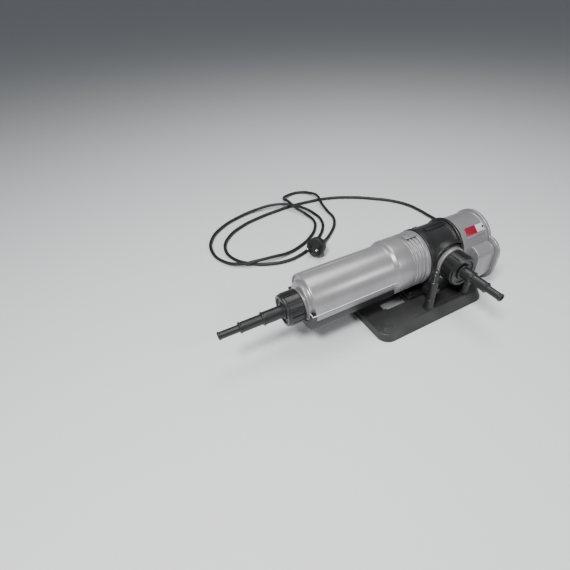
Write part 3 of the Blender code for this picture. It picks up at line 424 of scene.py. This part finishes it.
def strain_boot():
    """Tapered relief with rings, out of the gland."""
    low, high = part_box("strain_relief")
    foot = Vector((low[0], middle("cable_gland").y, middle("cable_gland").z))
    length = (high[0] - low[0]) / MM
    outline = [(0.0, 3.6), (0.0, 6.3), (3.0, 6.3)]
    rings = 5
    for ring in range(rings):
        start = 4.0 + ring * 5.2
        size = 6.2 - 0.42 * ring
        outline += [(start, size - 1.2), (start + 1.4, size - 1.2), (start + 1.4, size),
                    (start + 4.6, size - 0.2)]
    outline += [(length, 4.0), (length, 3.5)]
    return dress(tube("strain_boot", outline, foot, TO_LAMP, 48, 0.4), RUBBER, "lamp_head",
                 "black_rubber",
                 "strain_relief")


PLUG_TILT = 17.0


def mains_plug():
    """Round plug with a long ringed neck and two pins in insulating sleeves, lying tilted."""
    foot = route_point(CORD_ROUTE[-1])
    flat = foot - route_point(CORD_ROUTE[-2])
    flat = Vector((flat.x, flat.y, 0.0)).normalized()
    tilt = math.radians(PLUG_TILT)
    heading = flat * math.cos(tilt) + UP * math.sin(tilt)
    outline = [(1.3, 0.0), (1.3, 3.9)]
    for ring in range(5):
        start = 2.4 + ring * 4.4
        size = 4.6 + 0.62 * ring
        outline += [(start, size - 0.9), (start + 1.2, size - 0.9), (start + 1.5, size),
                    (start + 3.9, size + 0.2)]
    outline += [(26.0, 7.2), (30.0, 9.2), (34.0, 12.4), (37.6, 16.6), (39.4, 17.0), (39.4, 16.3),
                (40.4, 16.3)]
    outline += [(40.4, 17.6), (42.0, 18.3), (52.0, 18.3), (52.0, 17.5), (53.0, 17.5), (53.0, 18.3),
                (57.0, 18.2)]
    outline += [(58.0, 17.2), (58.0, 15.0), (56.8, 14.4), (56.8, 0.0)]
    body = lathe("plug", eased(outline, 0.6), foot, heading, 64)
    dress(body, RUBBER, "lamp_head", "black_rubber", "plug_body")
    side = Vector((-flat.y, flat.x, 0.0))
    pieces = [body]
    for name, way in (("plug_pin_left", -1), ("plug_pin_right", 1)):
        spot = foot + side * (9.5 * way * MM)
        sleeve = lathe("sleeve_" + name, eased([(57.0, 0.0), (57.0, 2.35), (67.0, 2.35),
                                                (67.5, 2.0), (67.5, 0.0)],
                                               0.3), spot, heading, 28)
        pieces.append(dress(sleeve, RUBBER, "lamp_head", "black_rubber"))
        outline = [(67.7, 0.0), (67.7, 2.1), (75.2, 2.1), (76.6, 1.3), (77.2, 0.0)]
        pin = lathe("metal_" + name, eased(outline, 0.4), spot, heading, 28)
        pieces.append(dress(pin, NICKEL, "lamp_head", "pin_nickel", name))
    return pieces


# ------------------------------------------------------------------ chamber

END_DROP = -5.0     # the end port sits this far under the chamber's axis
TOP_STRIP_TURN = -17


def chamber():
    outer = [(-252.2, 0.0), (-252.2, 29.0), (-251.2, 30.0), (-247.0, 30.4), (-244.6, 31.2),
             (-244.4, 36.0)]
    outer += [(-246.7, 37.4), (-246.9, 39.0), (-245.4, 40.0), (-108.5, 40.0), (-105.8, 40.9),
              (-102.6, 43.6)]
    outer += [(-99.8, 44.4), (-73.4, 44.4), (-72.2, 41.4)]
    for start in (-69.6, -62.8, -56.0):
        outer += [(start, 41.4), (start + 0.9, 44.2), (start + 3.0, 44.2), (start + 3.9, 41.4)]
    outer += [(-49.6, 41.4), (-48.6, 44.8), (-41.0, 44.8), (-41.0, 37.5), (-28.7, 37.5),
              (-28.7, 35.5)]
    outer += [(-25.9, 35.5), (-25.9, 37.5), (-20.8, 37.5), (-20.8, 0.0)]
    shell = lathe("chamber_shell", eased(outer, 0.9), TEE, TO_LAMP, 96)
    half = [(40.9, -0.9), (40.2, -2.0), (37.0, -17.0), (34.4, -28.4), (32.8, -31.2), (30.0, -33.6)]
    half += [(26.0, -35.4), (13.0, -39.4)]
    section = half + [(0.0, -40.8)] + [(-y, z) for y, z in reversed(half)]
    keel = pushed("keel", [place(-252.8, y, z) for y, z in section], TO_LAMP * (149.0 * MM))
    finish_edges(keel, 0.5, 2, 50)
    carve(keel, lathe("keel_room", [(-245.9, 0.0), (-245.9, 40.15), (-90.0, 40.15), (-90.0, 0.0)],
                      TEE, TO_LAMP, 96),
          lathe("keel_end_room", [(-253.5, 0.0), (-253.5, 30.6), (-245.0, 30.6), (-245.0, 0.0)],
                TEE, TO_LAMP, 96))
    # The keel is the silver chamber body; its near-black colour is painted shade, not a different
    # plastic.
    dress(keel, SILVER_PAINTED_SHADE, "chamber", "grey_plastic")
    # Thin light strips along the keel's lip and end: their colour is a painted highlight of the sharp
    # edge.
    edge = [bar("keel_edge_highlight", (-252.8, -41.0, -1.0), (-104.0, -39.6, 0.1), 0.3, 2),
            bar("keel_edge_highlight", (-246.5, 39.6, -1.0), (-104.0, 41.0, 0.1), 0.3, 2),
            bar("keel_end_highlight", (-253.2, -41.0, -1.0), (-252.0, -30.4, 0.1), 0.3, 2)]
    dress(joined("keel_edge_highlight", *edge), EDGE_PAINTED_HIGHLIGHT, "chamber", "grey_plastic")
    boss = lathe("end_boss", eased([(-246.0, 0.0), (-246.0, 23.5), (-254.3, 23.5), (-254.3, 0.0)],
                                   0.5),
                 place(0, 0, END_DROP), TO_LAMP, 64)
    threads = [(-253.0, 0.0), (-253.0, 18.8)]
    for turn in range(4):
        start = -257.0 - turn * 3.2
        threads += [(start + 0.9, 18.8), (start + 0.2, 19.6), (start - 0.6, 19.6),
                    (start - 1.3, 18.8)]
    threads += [(-269.8, 18.8), (-269.8, 0.0)]
    stub = lathe("end_stub", threads, place(0, 0, END_DROP), TO_LAMP, 64)
    fuse(shell, boss, stub)
    bore = [(-249.3, 0.0), (-249.3, 25.6), (-246.0, 26.4), (-242.0, 35.6), (-238.0, 36.5),
            (-108.0, 36.5)]
    bore += [(-101.0, 36.5), (-92.0, 34.0), (-20.0, 34.0), (-20.0, 0.0)]
    carve(shell, lathe("chamber_bore", bore, TEE, TO_LAMP, 96),
          lathe("end_way", [(-245.0, 0.0), (-245.0, 12.0), (-272.0, 12.0), (-272.0, 0.0)],
                place(0, 0, END_DROP),
                TO_LAMP, 48))
    dress(shell, SILVER, "chamber", "grey_plastic", "chamber_tube")
    strip = bar("top_strip", (-240.0, -3.6, 39.2), (-110.0, 3.6, 40.7), 0.5)
    turn_about(strip, TEE, "X", TOP_STRIP_TURN)
    dress(strip, SILVER, "chamber", "grey_plastic")
    catch = bar("catch", (-68.6, -6.6, 44.6), (-45.6, 6.6, 46.4), 0.8)
    ridges = [bar("catch_ridge", (-66.6 + 3.4 * number, -5.6, 46.0),
                  (-65.0 + 3.4 * number, 5.6, 47.6), 0.3, 2)
              for number in range(6)]
    dress(joined("chamber_catch_lever", catch, *ridges), SILVER, "chamber", "grey_plastic",
          "chamber_catch")


# ------------------------------------------------------------------ unions

TAIL_RADII = (9.6, 7.75, 5.5)
END_TAIL = (31.3, 33.6, 29.7)
FRONT_TAIL = (20.0, 27.5, 27.0)


def ribbed_band(piece, foot, axis, start, end, radius, every, sides, sink):
    """Sink one face in so many round a turned band, so that wide ribs stand between."""
    def in_groove(centre, normal):
        run = (centre - foot).dot(axis) / MM
        out = (centre - foot) - axis * (centre - foot).dot(axis)
        if not (start < run < end and abs(out.length / MM - radius) < 0.4):
            return False
        other = axis.cross(UP)
        turn = math.degrees(math.atan2(out.dot(other), out.dot(UP))) % 360
        return int(turn / (360 / sides)) % every == 0
    pick(piece, in_groove)
    bpy.ops.mesh.extrude_region_shrink_fatten(TRANSFORM_OT_shrink_fatten={"value": -sink * MM})
    bpy.ops.object.mode_set(mode="OBJECT")
    return finish_edges(piece, 0.28, 2, 50)


def union_nut(name, foot, axis, body, node):
    outline = [(1.2, 20.6), (1.2, 24.6), (2.2, 25.4), (22.4, 25.4), (23.6, 24.3), (26.6, 24.3),
               (27.9, 23.0)]
    outline += [(27.9, 19.6), (25.6, 18.8), (24.6, 13.2), (22.6, 13.2), (22.6, 20.6)]
    piece = lathe(name, outline + [outline[0]], foot, axis, 72)
    ribbed_band(piece, foot, axis, 2.0, 23.0, 25.35, 5, 72, 1.7)
    return dress(piece, BLACK, body, "black_plastic", node)


def hose_tail(name, foot, axis, lengths, body, node):
    """Stepped tail: three seats, each ending in a barb with a groove before it."""
    outline = [(18.1, 3.8), (18.1, 18.4), (21.1, 18.4), (21.1, 12.2), (27.6, 12.2), (28.6, 11.2)]
    run = 28.6
    for radius, length in zip(TAIL_RADII, lengths):
        outline += [(run, radius), (run + length - 4.2, radius), (run + length - 3.6, radius - 0.5)]
        outline += [(run + length - 3.0, radius + 0.8), (run + length - 1.6, radius + 0.8)]
        outline.append((run + length, radius - 0.3))
        run += length
    outline.append((run, 3.8))
    piece = tube(name, outline, foot, axis, 48, 0.35)
    return dress(piece, BLACK, body, "black_plastic", node)


def blanking_cap():
    outline = [(48.6, 0.0), (48.6, 15.4), (45.0, 15.4), (45.0, 19.2), (45.8, 19.9), (49.4, 19.9),
               (50.6, 18.7)]
    outline += [(50.9, 14.0), (50.2, 13.4), (50.2, 0.0)]
    piece = lathe("blanking_cap", eased(outline, 0.3), TEE, TO_BACK, 64)
    ribbed_band(piece, TEE, TO_BACK, 45.7, 49.6, 19.9, 4, 64, 0.9)
    dress(piece, BLACK, "rear_cap", "black_plastic", "rear_cap")


def front_collar():
    """Light collar and threaded stub let into the tee, cut flat beside the lock ring."""
    outline = [(41.5, 12.0), (41.5, 14.5), (41.7, 14.5), (41.7, 27.6), (47.4, 27.6), (48.2, 26.8),
               (48.2, 18.8)]
    for turn in range(4):
        start = 49.4 + turn * 3.2
        outline += [(start, 18.8), (start + 0.7, 19.6), (start + 1.4, 19.6), (start + 2.1, 18.8)]
    outline += [(63.0, 18.8), (63.0, 12.0)]
    port = tube("front_collar", outline, TEE, TO_FRONT, 72, 0.25)
    carve(port, bar("port_flat", (20.5, -48.4, -40), (40, -38.0, 40), 0))
    dress(port, SILVER, "base", "grey_plastic", "front_port")


def rear_collar():
    outline = [(41.5, 9.5), (41.5, 14.5), (45.0, 14.5), (45.4, 13.9), (46.2, 13.9), (46.6, 14.5),
               (47.2, 14.2)]
    outline.append((47.2, 9.5))
    dress(tube("rear_collar", outline, TEE, TO_BACK, 64, 0.2), SILVER, "base", "grey_plastic",
          "rear_port")


def unions():
    end = place(-254.3, 0, END_DROP)
    front = place(0, -47.5, 0)
    union_nut("end_union_nut", end, TO_END, "end_nut", "end_nut")
    hose_tail("end_hose_tail", end, TO_END, END_TAIL, "end_tail", "end_tail")
    union_nut("front_union_nut", front, TO_FRONT, "front_nut", "front_nut")
    hose_tail("front_hose_tail", front, TO_FRONT, FRONT_TAIL, "front_tail", "front_tail")
    blanking_cap()
    front_collar()
    rear_collar()


# ------------------------------------------------------------------ tee

POSTS = (-47.0, 33.0)
POST_Y = 62.0


def tee():
    outer = [(-40.5, 0.0), (-40.5, 45.2), (-39.7, 46.0), (-35.6, 46.0), (-35.0, 45.2),
             (-33.6, 45.6), (-33.2, 44.4)]
    outer += [(15.8, 44.4), (16.6, 46.1), (20.0, 46.1), (20.7, 45.4), (20.7, 0.0)]
    body = lathe("tee_shell", eased(outer, 0.6), TEE, TO_LAMP, 96)
    boss = [(10.0, 0.0), (10.0, 33.4), (33.0, 33.4), (38.0, 31.6), (41.4, 29.4), (41.4, 0.0)]
    fuse(body, lathe("front_boss", eased(boss, 1.5), TEE, TO_FRONT, 72))
    carve(body, lathe("front_face", [(41.4, 0.0), (41.4, 29.4), (60.0, 31.5), (60.0, 0.0)], TEE,
                      TO_FRONT, 72))
    arch = [(30.0, 33.2), (41.0, 33.6), (42.2, 34.3), (42.2, 35.3), (41.0, 36.2), (30.0, 36.6)]
    fuse(body, tube("front_arch", arch, TEE, TO_FRONT, 72, 0.4))
    fuse(body, lathe("rear_boss", [(10.0, 0.0), (10.0, 20.8), (44.3, 20.8), (44.3, 0.0)], TEE,
                     TO_BACK, 72))
    carve(body, lathe("rear_face", [(44.3, 0.0), (44.3, 20.8), (60.0, 20.8), (60.0, 0.0)], TEE,
                      TO_BACK, 72))
    carve(body, bar("tee_side", (20.7, -60, -60), (60, 60, 60), 0))
    carve(body, lathe("tee_bore", [(-41.5, 0.0), (-41.5, 38.0), (22.0, 38.0), (22.0, 0.0)], TEE,
                      TO_LAMP, 96))
    carve(body, lathe("side_bore", [(-60.0, 0.0), (-60.0, 14.8), (60.0, 14.8), (60.0, 0.0)], TEE,
                      TO_BACK, 64))
    dress(body, BLACK, "base", "black_plastic", "tee_body")
    frame_rib = [bar("rib_near", (-24.0, -4.4, 43.6), (14.0, -3.0, 46.6), 0.5),
                 bar("rib_far", (-24.0, 3.0, 43.6), (14.0, 4.4, 46.6), 0.5),
                 bar("rib_left", (-25.0, -4.4, 43.6), (-23.4, 4.4, 46.6), 0.5),
                 bar("rib_floor", (-24.0, -3.4, 43.6), (14.0, 3.4, 45.4), 0.3)]
    dress(joined("top_rib", *frame_rib), BLACK, "base", "black_plastic")


def lug_top(index, side):
    """Only the front left lug stands tall."""
    return 8.0 if index == 0 and side < 0 else -18.0


def pedestal():
    """Saddle under the tee: foot, panels, posts' lugs and arms."""
    foot = bar("saddle_foot", (-64, -33, -60.7), (42, 33, -53.0), 2.0)
    core = bar("saddle_core", (-32, -28, -58), (15, 28, -40), 1.0)
    bars = []
    for side in (-1, 1):
        bars.append(bar("panel", (-38.0, min(side * 43, side * 40), -56),
                        (17, max(side * 43, side * 40), -14), 0.8))
        bars.append(bar("gusset", (-62.0, min(side * 22, side * 30), -58),
                        (-30, max(side * 22, side * 30), -48.0), 3.6))
        for index, x in enumerate(POSTS):
            inward = 1 if index == 0 else -1
            edge = -40.0 if index == 0 else 20.2
            spans = sorted((x - 3.0 * inward, edge + 10.0 * inward))
            reach = sorted((side * POST_Y, side * 42.0))
            bars.append(bar("arm", (spans[0], reach[0], -38.5), (spans[1], reach[1], -28.5), 1.0))
            deep = sorted((edge, edge + 12.0 * inward))
            root = sorted((side * 45.0, side * 22.0))
            bars.append(bar("knee", (deep[0], root[0], -38.0), (deep[1], root[1], -29.0), 1.0))
            top = lug_top(index, side)
            neck = top - 16.0
            outline = [(-40.7, 2.4), (-40.7, 7.5), (neck, 6.9), (neck + 0.8, 6.0)]
            for ring in range(4):
                start = neck + 1.6 + ring * 3.5
                outline += [(start, 5.4), (start + 0.4, 6.0), (start + 1.9, 6.0),
                            (start + 2.4, 5.4)]
            outline += [(top - 0.8, 5.2), (top, 4.4), (top, 2.4)]
            bars.append(tube("lug", outline, place(x, side * POST_Y, 0), UP, 36, 0.3))
    saddle = joined("saddle", foot, core, *bars)
    dress(saddle, BLACK, "base", "black_plastic")
    number = 1
    for side in (-1, 1):
        for index, x in enumerate(POSTS):
            seat = lug_top(index, side) + 0.3
            outline = [(-57.0, 0.0), (-56.0, 1.9), (seat, 2.0), (seat, 3.7), (seat + 0.6, 3.8),
                       (seat + 2.2, 3.6)]
            outline += [(seat + 3.6, 2.8), (seat + 4.4, 1.5), (seat + 4.7, 0.0)]
            screw = lathe("long_screw_%d" % number, outline, place(x, side * POST_Y, 0), UP, 36)
            slot_cut = bar("screw_slot", (x - 4.8, side * POST_Y - 0.5, seat + 3.3),
                           (x + 4.8, side * POST_Y + 0.5, seat + 6.0), 0)
            carve(screw, slot_cut)
            dress(screw, DARK_STEEL, "base", "screw_steel", "tee_screw_%d" % number)
            number += 1


# ------------------------------------------------------------------ base

UNDERSIDE = -75.0
TOP_DECK = -61.6


def base_plan(grow, waist):
    """Half-rounded plan of the base; the long sides are drawn in between the ends."""
    left = -154.0 if grow == 0 else -153.4
    right = 72.0 - grow
    wide = 84.7 - grow
    front = arc(left + 20.0, -wide + 20.0, 20.0, 180, 270, 10)
    for x, share in ((-116.0, 0.25), (-93.0, 0.62), (-70.0, 0.9), (-50.0, 1.0), (0.0, 1.0),
                     (24.0, 0.85)):
        front.append((x, -wide + waist * share))
    front += arc(right - 26.0, -wide + waist * 0.6 + 26.0, 26.0, 272, 360, 10)
    return front + [(x, -y) for x, y in reversed(front)]


def base():
    lower = sketch("base_plate", [place(x, y, UNDERSIDE) for x, y in base_plan(0.0, 0.0)])
    bpy.ops.mesh.select_all(action="SELECT")
    bpy.ops.mesh.edge_face_add()
    bpy.ops.object.mode_set(mode="OBJECT")
    upper = sketch("base_deck", [place(x, y, TOP_DECK) for x, y in base_plan(3.0, 10.0)])
    bpy.ops.mesh.select_all(action="SELECT")
    bpy.ops.mesh.edge_face_add()
    bpy.ops.object.mode_set(mode="OBJECT")
    plate = joined("base_plate", lower, upper)
    bpy.ops.object.mode_set(mode="EDIT")
    bpy.ops.mesh.select_all(action="SELECT")
    bpy.ops.mesh.delete(type="ONLY_FACE")
    bpy.ops.mesh.select_all(action="SELECT")
    bpy.ops.mesh.bridge_edge_loops()
    bpy.ops.object.mode_set(mode="OBJECT")
    for level in (UNDERSIDE, TOP_DECK):
        height = TEE.z + level * MM
        bpy.ops.object.mode_set(mode="EDIT")
        bpy.ops.mesh.select_mode(type="VERT")
        bpy.ops.mesh.select_all(action="DESELECT")
        bpy.ops.object.mode_set(mode="OBJECT")
        for vertex in plate.data.vertices:
            vertex.select = abs(vertex.co.z - height) < 0.00005
        bpy.ops.object.mode_set(mode="EDIT")
        bpy.ops.mesh.edge_face_add()
        bpy.ops.object.mode_set(mode="OBJECT")
    bpy.ops.object.mode_set(mode="EDIT")
    tidy_mesh()
    pick(plate, lambda centre, normal: normal.z > 0.9)
    bpy.ops.mesh.inset(thickness=0.9 * MM, depth=0.6 * MM)
    bpy.ops.mesh.inset(thickness=0.9 * MM, depth=0.0)
    bpy.ops.mesh.inset(thickness=0.5 * MM, depth=-0.7 * MM)
    bpy.ops.mesh.inset(thickness=6.5 * MM, depth=0.0)
    bpy.ops.mesh.inset(thickness=0.5 * MM, depth=0.5 * MM)
    bpy.ops.object.mode_set(mode="OBJECT")
    for side in (-1, 1):
        spans = sorted((side * 33.0, side * 68.7))
        carve(plate, bar("pocket", (-149, spans[0], -76), (-56, spans[1], -64.5), 0),
              bar("pocket", (-38, spans[0], -76), (24, spans[1], -64.5), 0))
        spans = sorted((side * 9.0, side * 30.5))
        carve(plate, bar("window", (-111, spans[0], -78), (-65, spans[1], -58), 4.0))
    carve(plate, bar("under_middle", (-149, -24, -76), (58, 24, -69), 0))
    carve(plate, bar("channel", (-149, -27, -66), (-66.3, 27, -58), 0))
    smooth(plate, 25)
    dress(plate, DECK, "base", "black_plastic", "base_bracket")
    for side in (-1, 1):
        for x in POSTS:
            outline = [(-63.0, 2.6), (-63.0, 10.0), (-60.2, 9.8), (-57.0, 8.3), (-52.0, 7.9),
                       (-41.0, 7.6), (-41.0, 2.6)]
            post = tube("post", outline, place(x, side * POST_Y, 0), UP, 40, 0.8)
            dress(post, BLACK, "base", "black_plastic")
        outline = [(-64.2, 2.4), (-64.2, 10.0), (-60.6, 9.6), (-60.0, 9.0), (-60.0, 7.2),
                   (-61.4, 6.8), (-61.4, 4.6)]
        outline += [(-60.4, 4.2), (-60.4, 2.4)]
        boss = tube("screw_boss", outline, place(-133, side * 61, 0), UP, 40, 0.3)
        dress(boss, DECK, "base", "black_plastic")
        ribs = [bar("strip_bed", (-36, side * 62.5 - 3.4, -62), (25, side * 62.5 + 3.4, -60.6),
                    0.3)]
        for number in range(20):
            x = -34.6 + number * 3.0
            ribs.append(bar("strip_rib", (x, side * 62.5 - 2.8, -61),
                            (x + 1.4, side * 62.5 + 2.8, -59.9), 0.3, 2))
        dress(joined("ribbed_strip", *ribs), DECK, "base", "black_plastic")


# ------------------------------------------------------------------ lamp head

LOBE_FRONT, LOBE_TOP, LOBE_BOTTOM, LOBE_INNER = -63.2, 12.5, -55.0, -12.0
LOBE_ROUND, LOBE_ROUND_LOW = 18.5, 22.0
LABEL_ANGLE = 50.5      # the window and label strip, above the front
RAIL_ANGLE = 37.5


def lobe_plan(grow):
    """Front, bottom and top of the ballast lobe's section, in (y, z)."""
    front, top, bottom = LOBE_FRONT - grow, LOBE_TOP + grow, LOBE_BOTTOM - grow
    r, low_r = LOBE_ROUND + grow, LOBE_ROUND_LOW + grow
    lower = arc(front + low_r, bottom + low_r, low_r, 270, 180, 12)
    return lower + arc(front + r, top - r, r, 180, 90, 10)


def lobe_block(name, start, end, grow):
    section = lobe_plan(grow) + [(LOBE_INNER, LOBE_TOP + grow), (LOBE_INNER, LOBE_BOTTOM - grow)]
    return pushed(name, [place(start, y, z) for y, z in section], TO_LAMP * ((end - start) * MM))


def keyhole(radius, grow):
    """Outline of the barrel and its lobe, in (y, z)."""
    top, bottom = LOBE_TOP + grow, LOBE_BOTTOM - grow
    first = math.degrees(math.atan2(top, -math.sqrt(radius ** 2 - top ** 2)))
    last = -math.degrees(math.acos(LOBE_INNER / radius))
    ring = arc(0.0, 0.0, radius, first, last, 64)
    return ring + [(LOBE_INNER, bottom)] + lobe_plan(grow)


def on_head(name, start, end, half, low, high, angle, edge=0.3):
    """A flat bar along the head, lying at an angle above the front."""
    piece = bar(name, (start, -half, low), (end, half, high), edge)
    return turn_about(piece, TEE, "X", 90 - angle)


def lamp_head():
    outer = [(27.7, 0.0), (27.7, 45.0), (28.3, 45.6), (32.8, 45.6), (33.6, 44.3), (79.6, 44.3),
             (80.2, 43.7)]
    outer += [(81.4, 43.7), (82.0, 44.3), (85.7, 44.3), (85.7, 0.0)]
    shell = lathe("head_shell", eased(outer, 0.5), TEE, TO_LAMP, 96)
    lobe = lobe_block("lobe", 47.0, 85.7, 0.0)
    finish_edges(lobe, 1.6, 4, 50)
    fuse(shell, lobe)
    carve(shell, lathe("head_room", [(31.0, 0.0), (31.0, 41.0), (87.0, 41.0), (87.0, 0.0)], TEE,
                       TO_LAMP, 96))
    carve(shell, lobe_block("lobe_room", 50.3, 87.0, -3.3))
    carve(shell, lathe("sleeve_door", [(26.0, 0.0), (26.0, 21.0), (32.0, 21.0), (32.0, 0.0)], TEE,
                       TO_LAMP, 64))
    carve(shell, lathe("plunger_door", [(26.0, 0.0), (26.0, 1.5), (32.0, 1.5), (32.0, 0.0)],
                       place(0, 0, 39.2),
                       TO_LAMP, 24))
    carve(shell, on_head("label_bed", 39.5, 81.7, 6.8, 42.4, 50.0, LABEL_ANGLE, 0))
    smooth(shell, 28)
    dress(shell, SILVER, "lamp_head", "grey_plastic", "head_housing")
    rail = on_head("head_rail", 39.5, 82.5, 1.3, 43.2, 45.3, RAIL_ANGLE, 0.4)
    dress(rail, SILVER, "lamp_head", "grey_plastic")
    window = on_head("window_lens", 39.8, 63.8, 6.5, 42.7, 44.7, LABEL_ANGLE, 0.5)
    dress(window, RED, "lamp_head", "window_red", "indicator_window")
    strip = on_head("label_plate", 64.1, 81.4, 6.5, 42.7, 44.4, LABEL_ANGLE, 0.4)
    dress(strip, LABEL, "lamp_head", "label_grey", "label_strip")
    dot = lathe("label_dot", eased([(44.0, 0.0), (44.0, 2.0), (45.0, 2.0), (45.0, 0.0)], 0.3),
                place(79.0), UP, 20)
    turn_about(dot, TEE, "X", 90 - LABEL_ANGLE)
    dress(dot, BLACK, "lamp_head", "black_plastic")
    rim = [place(86.0, y, z) for y, z in keyhole(46.5, 6.8)]
    cover = pushed("end_cover", rim, TO_LAMP * (5.4 * MM))
    finish_edges(cover, 1.3, 4, 50)
    carve(cover, lathe("gland_door", [(85.0, 0.0), (85.0, 5.0), (93.0, 5.0), (93.0, 0.0)],
                       Vector((TEE.x, middle("cable_gland").y, middle("cable_gland").z)), TO_LAMP,
                       32))
    for number in (1, 2, 3):
        spot = middle("cover_screw_%d" % number)
        carve(cover, lathe("screw_door", [(85.0, 0.0), (85.0, 1.8), (93.0, 1.8), (93.0, 0.0)],
                           Vector((TEE.x, spot.y, spot.z)), TO_LAMP, 24))
    dress(cover, SILVER, "lamp_head", "grey_plastic", "head_cover")


def lock_ring():
    outline = [(21.0, 38.2), (21.0, 47.0), (22.0, 48.0), (25.6, 48.0), (27.4, 46.4), (27.4, 38.2)]
    piece = tube("lock_ring_band", outline, TEE, TO_LAMP, 96, 0.5)
    dress(piece, BLACK, "lock_ring", "black_plastic", "lock_ring")


# ------------------------------------------------------------------ inside

def dress_inside():
    """Parts that keep their own shape get their finishes."""
    finishes = {
        "grey_plastic": SILVER, "black_plastic": BLACK, "black_rubber": RUBBER, "window_red": RED,
        "label_grey": LABEL, "quartz_glass": QUARTZ, "lamp_white": LAMP, "screw_steel": STEEL,
        "pin_nickel": NICKEL, "coil_steel": COIL,
    }
    for entry in frame["record"]["subparts"]:
        node = frame["nodes"][entry["node"]]
        node.data.materials.clear()
        node.data.materials.append(finishes[entry["material_slot"]])


# ------------------------------------------------------------------ room

def studio():
    bpy.ops.object.select_all(action="DESELECT")
    bpy.ops.mesh.primitive_plane_add(size=50.0, location=(0, 0, FLOOR - 0.0005))
    floor = bpy.context.object
    floor.name = "studio_floor"
    made, nodes, _ = new_material("pale_floor")
    nodes["Principled BSDF"].inputs["Base Color"].default_value = (0.80, 0.81, 0.82, 1.0)
    nodes["Principled BSDF"].inputs["Roughness"].default_value = 0.65
    floor.data.materials.append(made)
    world = bpy.data.worlds.new("studio_world")
    bpy.context.scene.world = world
    world.use_nodes = True
    world.node_tree.nodes["Background"].inputs["Color"].default_value = (0.80, 0.84, 0.90, 1.0)
    world.node_tree.nodes["Background"].inputs["Strength"].default_value = 0.16
    for name, spot, size, power in (("key", (-0.70, -0.40, 1.25), 0.40, 25.0),
                                    ("top", (0.25, 0.30, 1.35), 0.7, 9.0),
                                    ("band", (0.55, -1.05, 0.90), 0.28, 5.0)):
        data = bpy.data.lights.new(name + "_light", "AREA")
        data.size = size
        data.energy = power
        lamp = bpy.data.objects.new(name + "_light", data)
        lamp.location = spot
        lamp.rotation_euler = (Vector((0.02, 0.05, 0.06)) - Vector(spot)).to_track_quat("-Z",
                                                                                        "Y").to_euler()
        bpy.context.scene.collection.objects.link(lamp)


def camera():
    data = bpy.data.cameras.new("front_camera")
    data.sensor_width = 36.0
    data.lens = 22.05
    data.shift_x = -0.0882
    data.shift_y = 0.0913
    eye = bpy.data.objects.new("front_camera", data)
    right = Vector((0.8547, -0.5191, -0.0121))
    down = Vector((-0.3844, -0.6169, -0.6868))
    look = Vector((0.349, 0.5916, -0.7268))
    turn = Matrix((right, -down, -look)).transposed()
    eye.matrix_world = Matrix.Translation(place(-406.43, -360.24, 333.97)) @ turn.to_4x4()
    bpy.context.scene.collection.objects.link(eye)
    bpy.context.scene.camera = eye
    data.clip_start = 0.01


def main():
    camera()
    lead = power_lead()
    boot = strain_boot()
    plug = mains_plug()
    tuple(route_point(CORD_ROUTE[0]))
    chamber()
    unions()
    tee()
    pedestal()
    base()
    lamp_head()
    lock_ring()
    dress_inside()
    studio()


main()
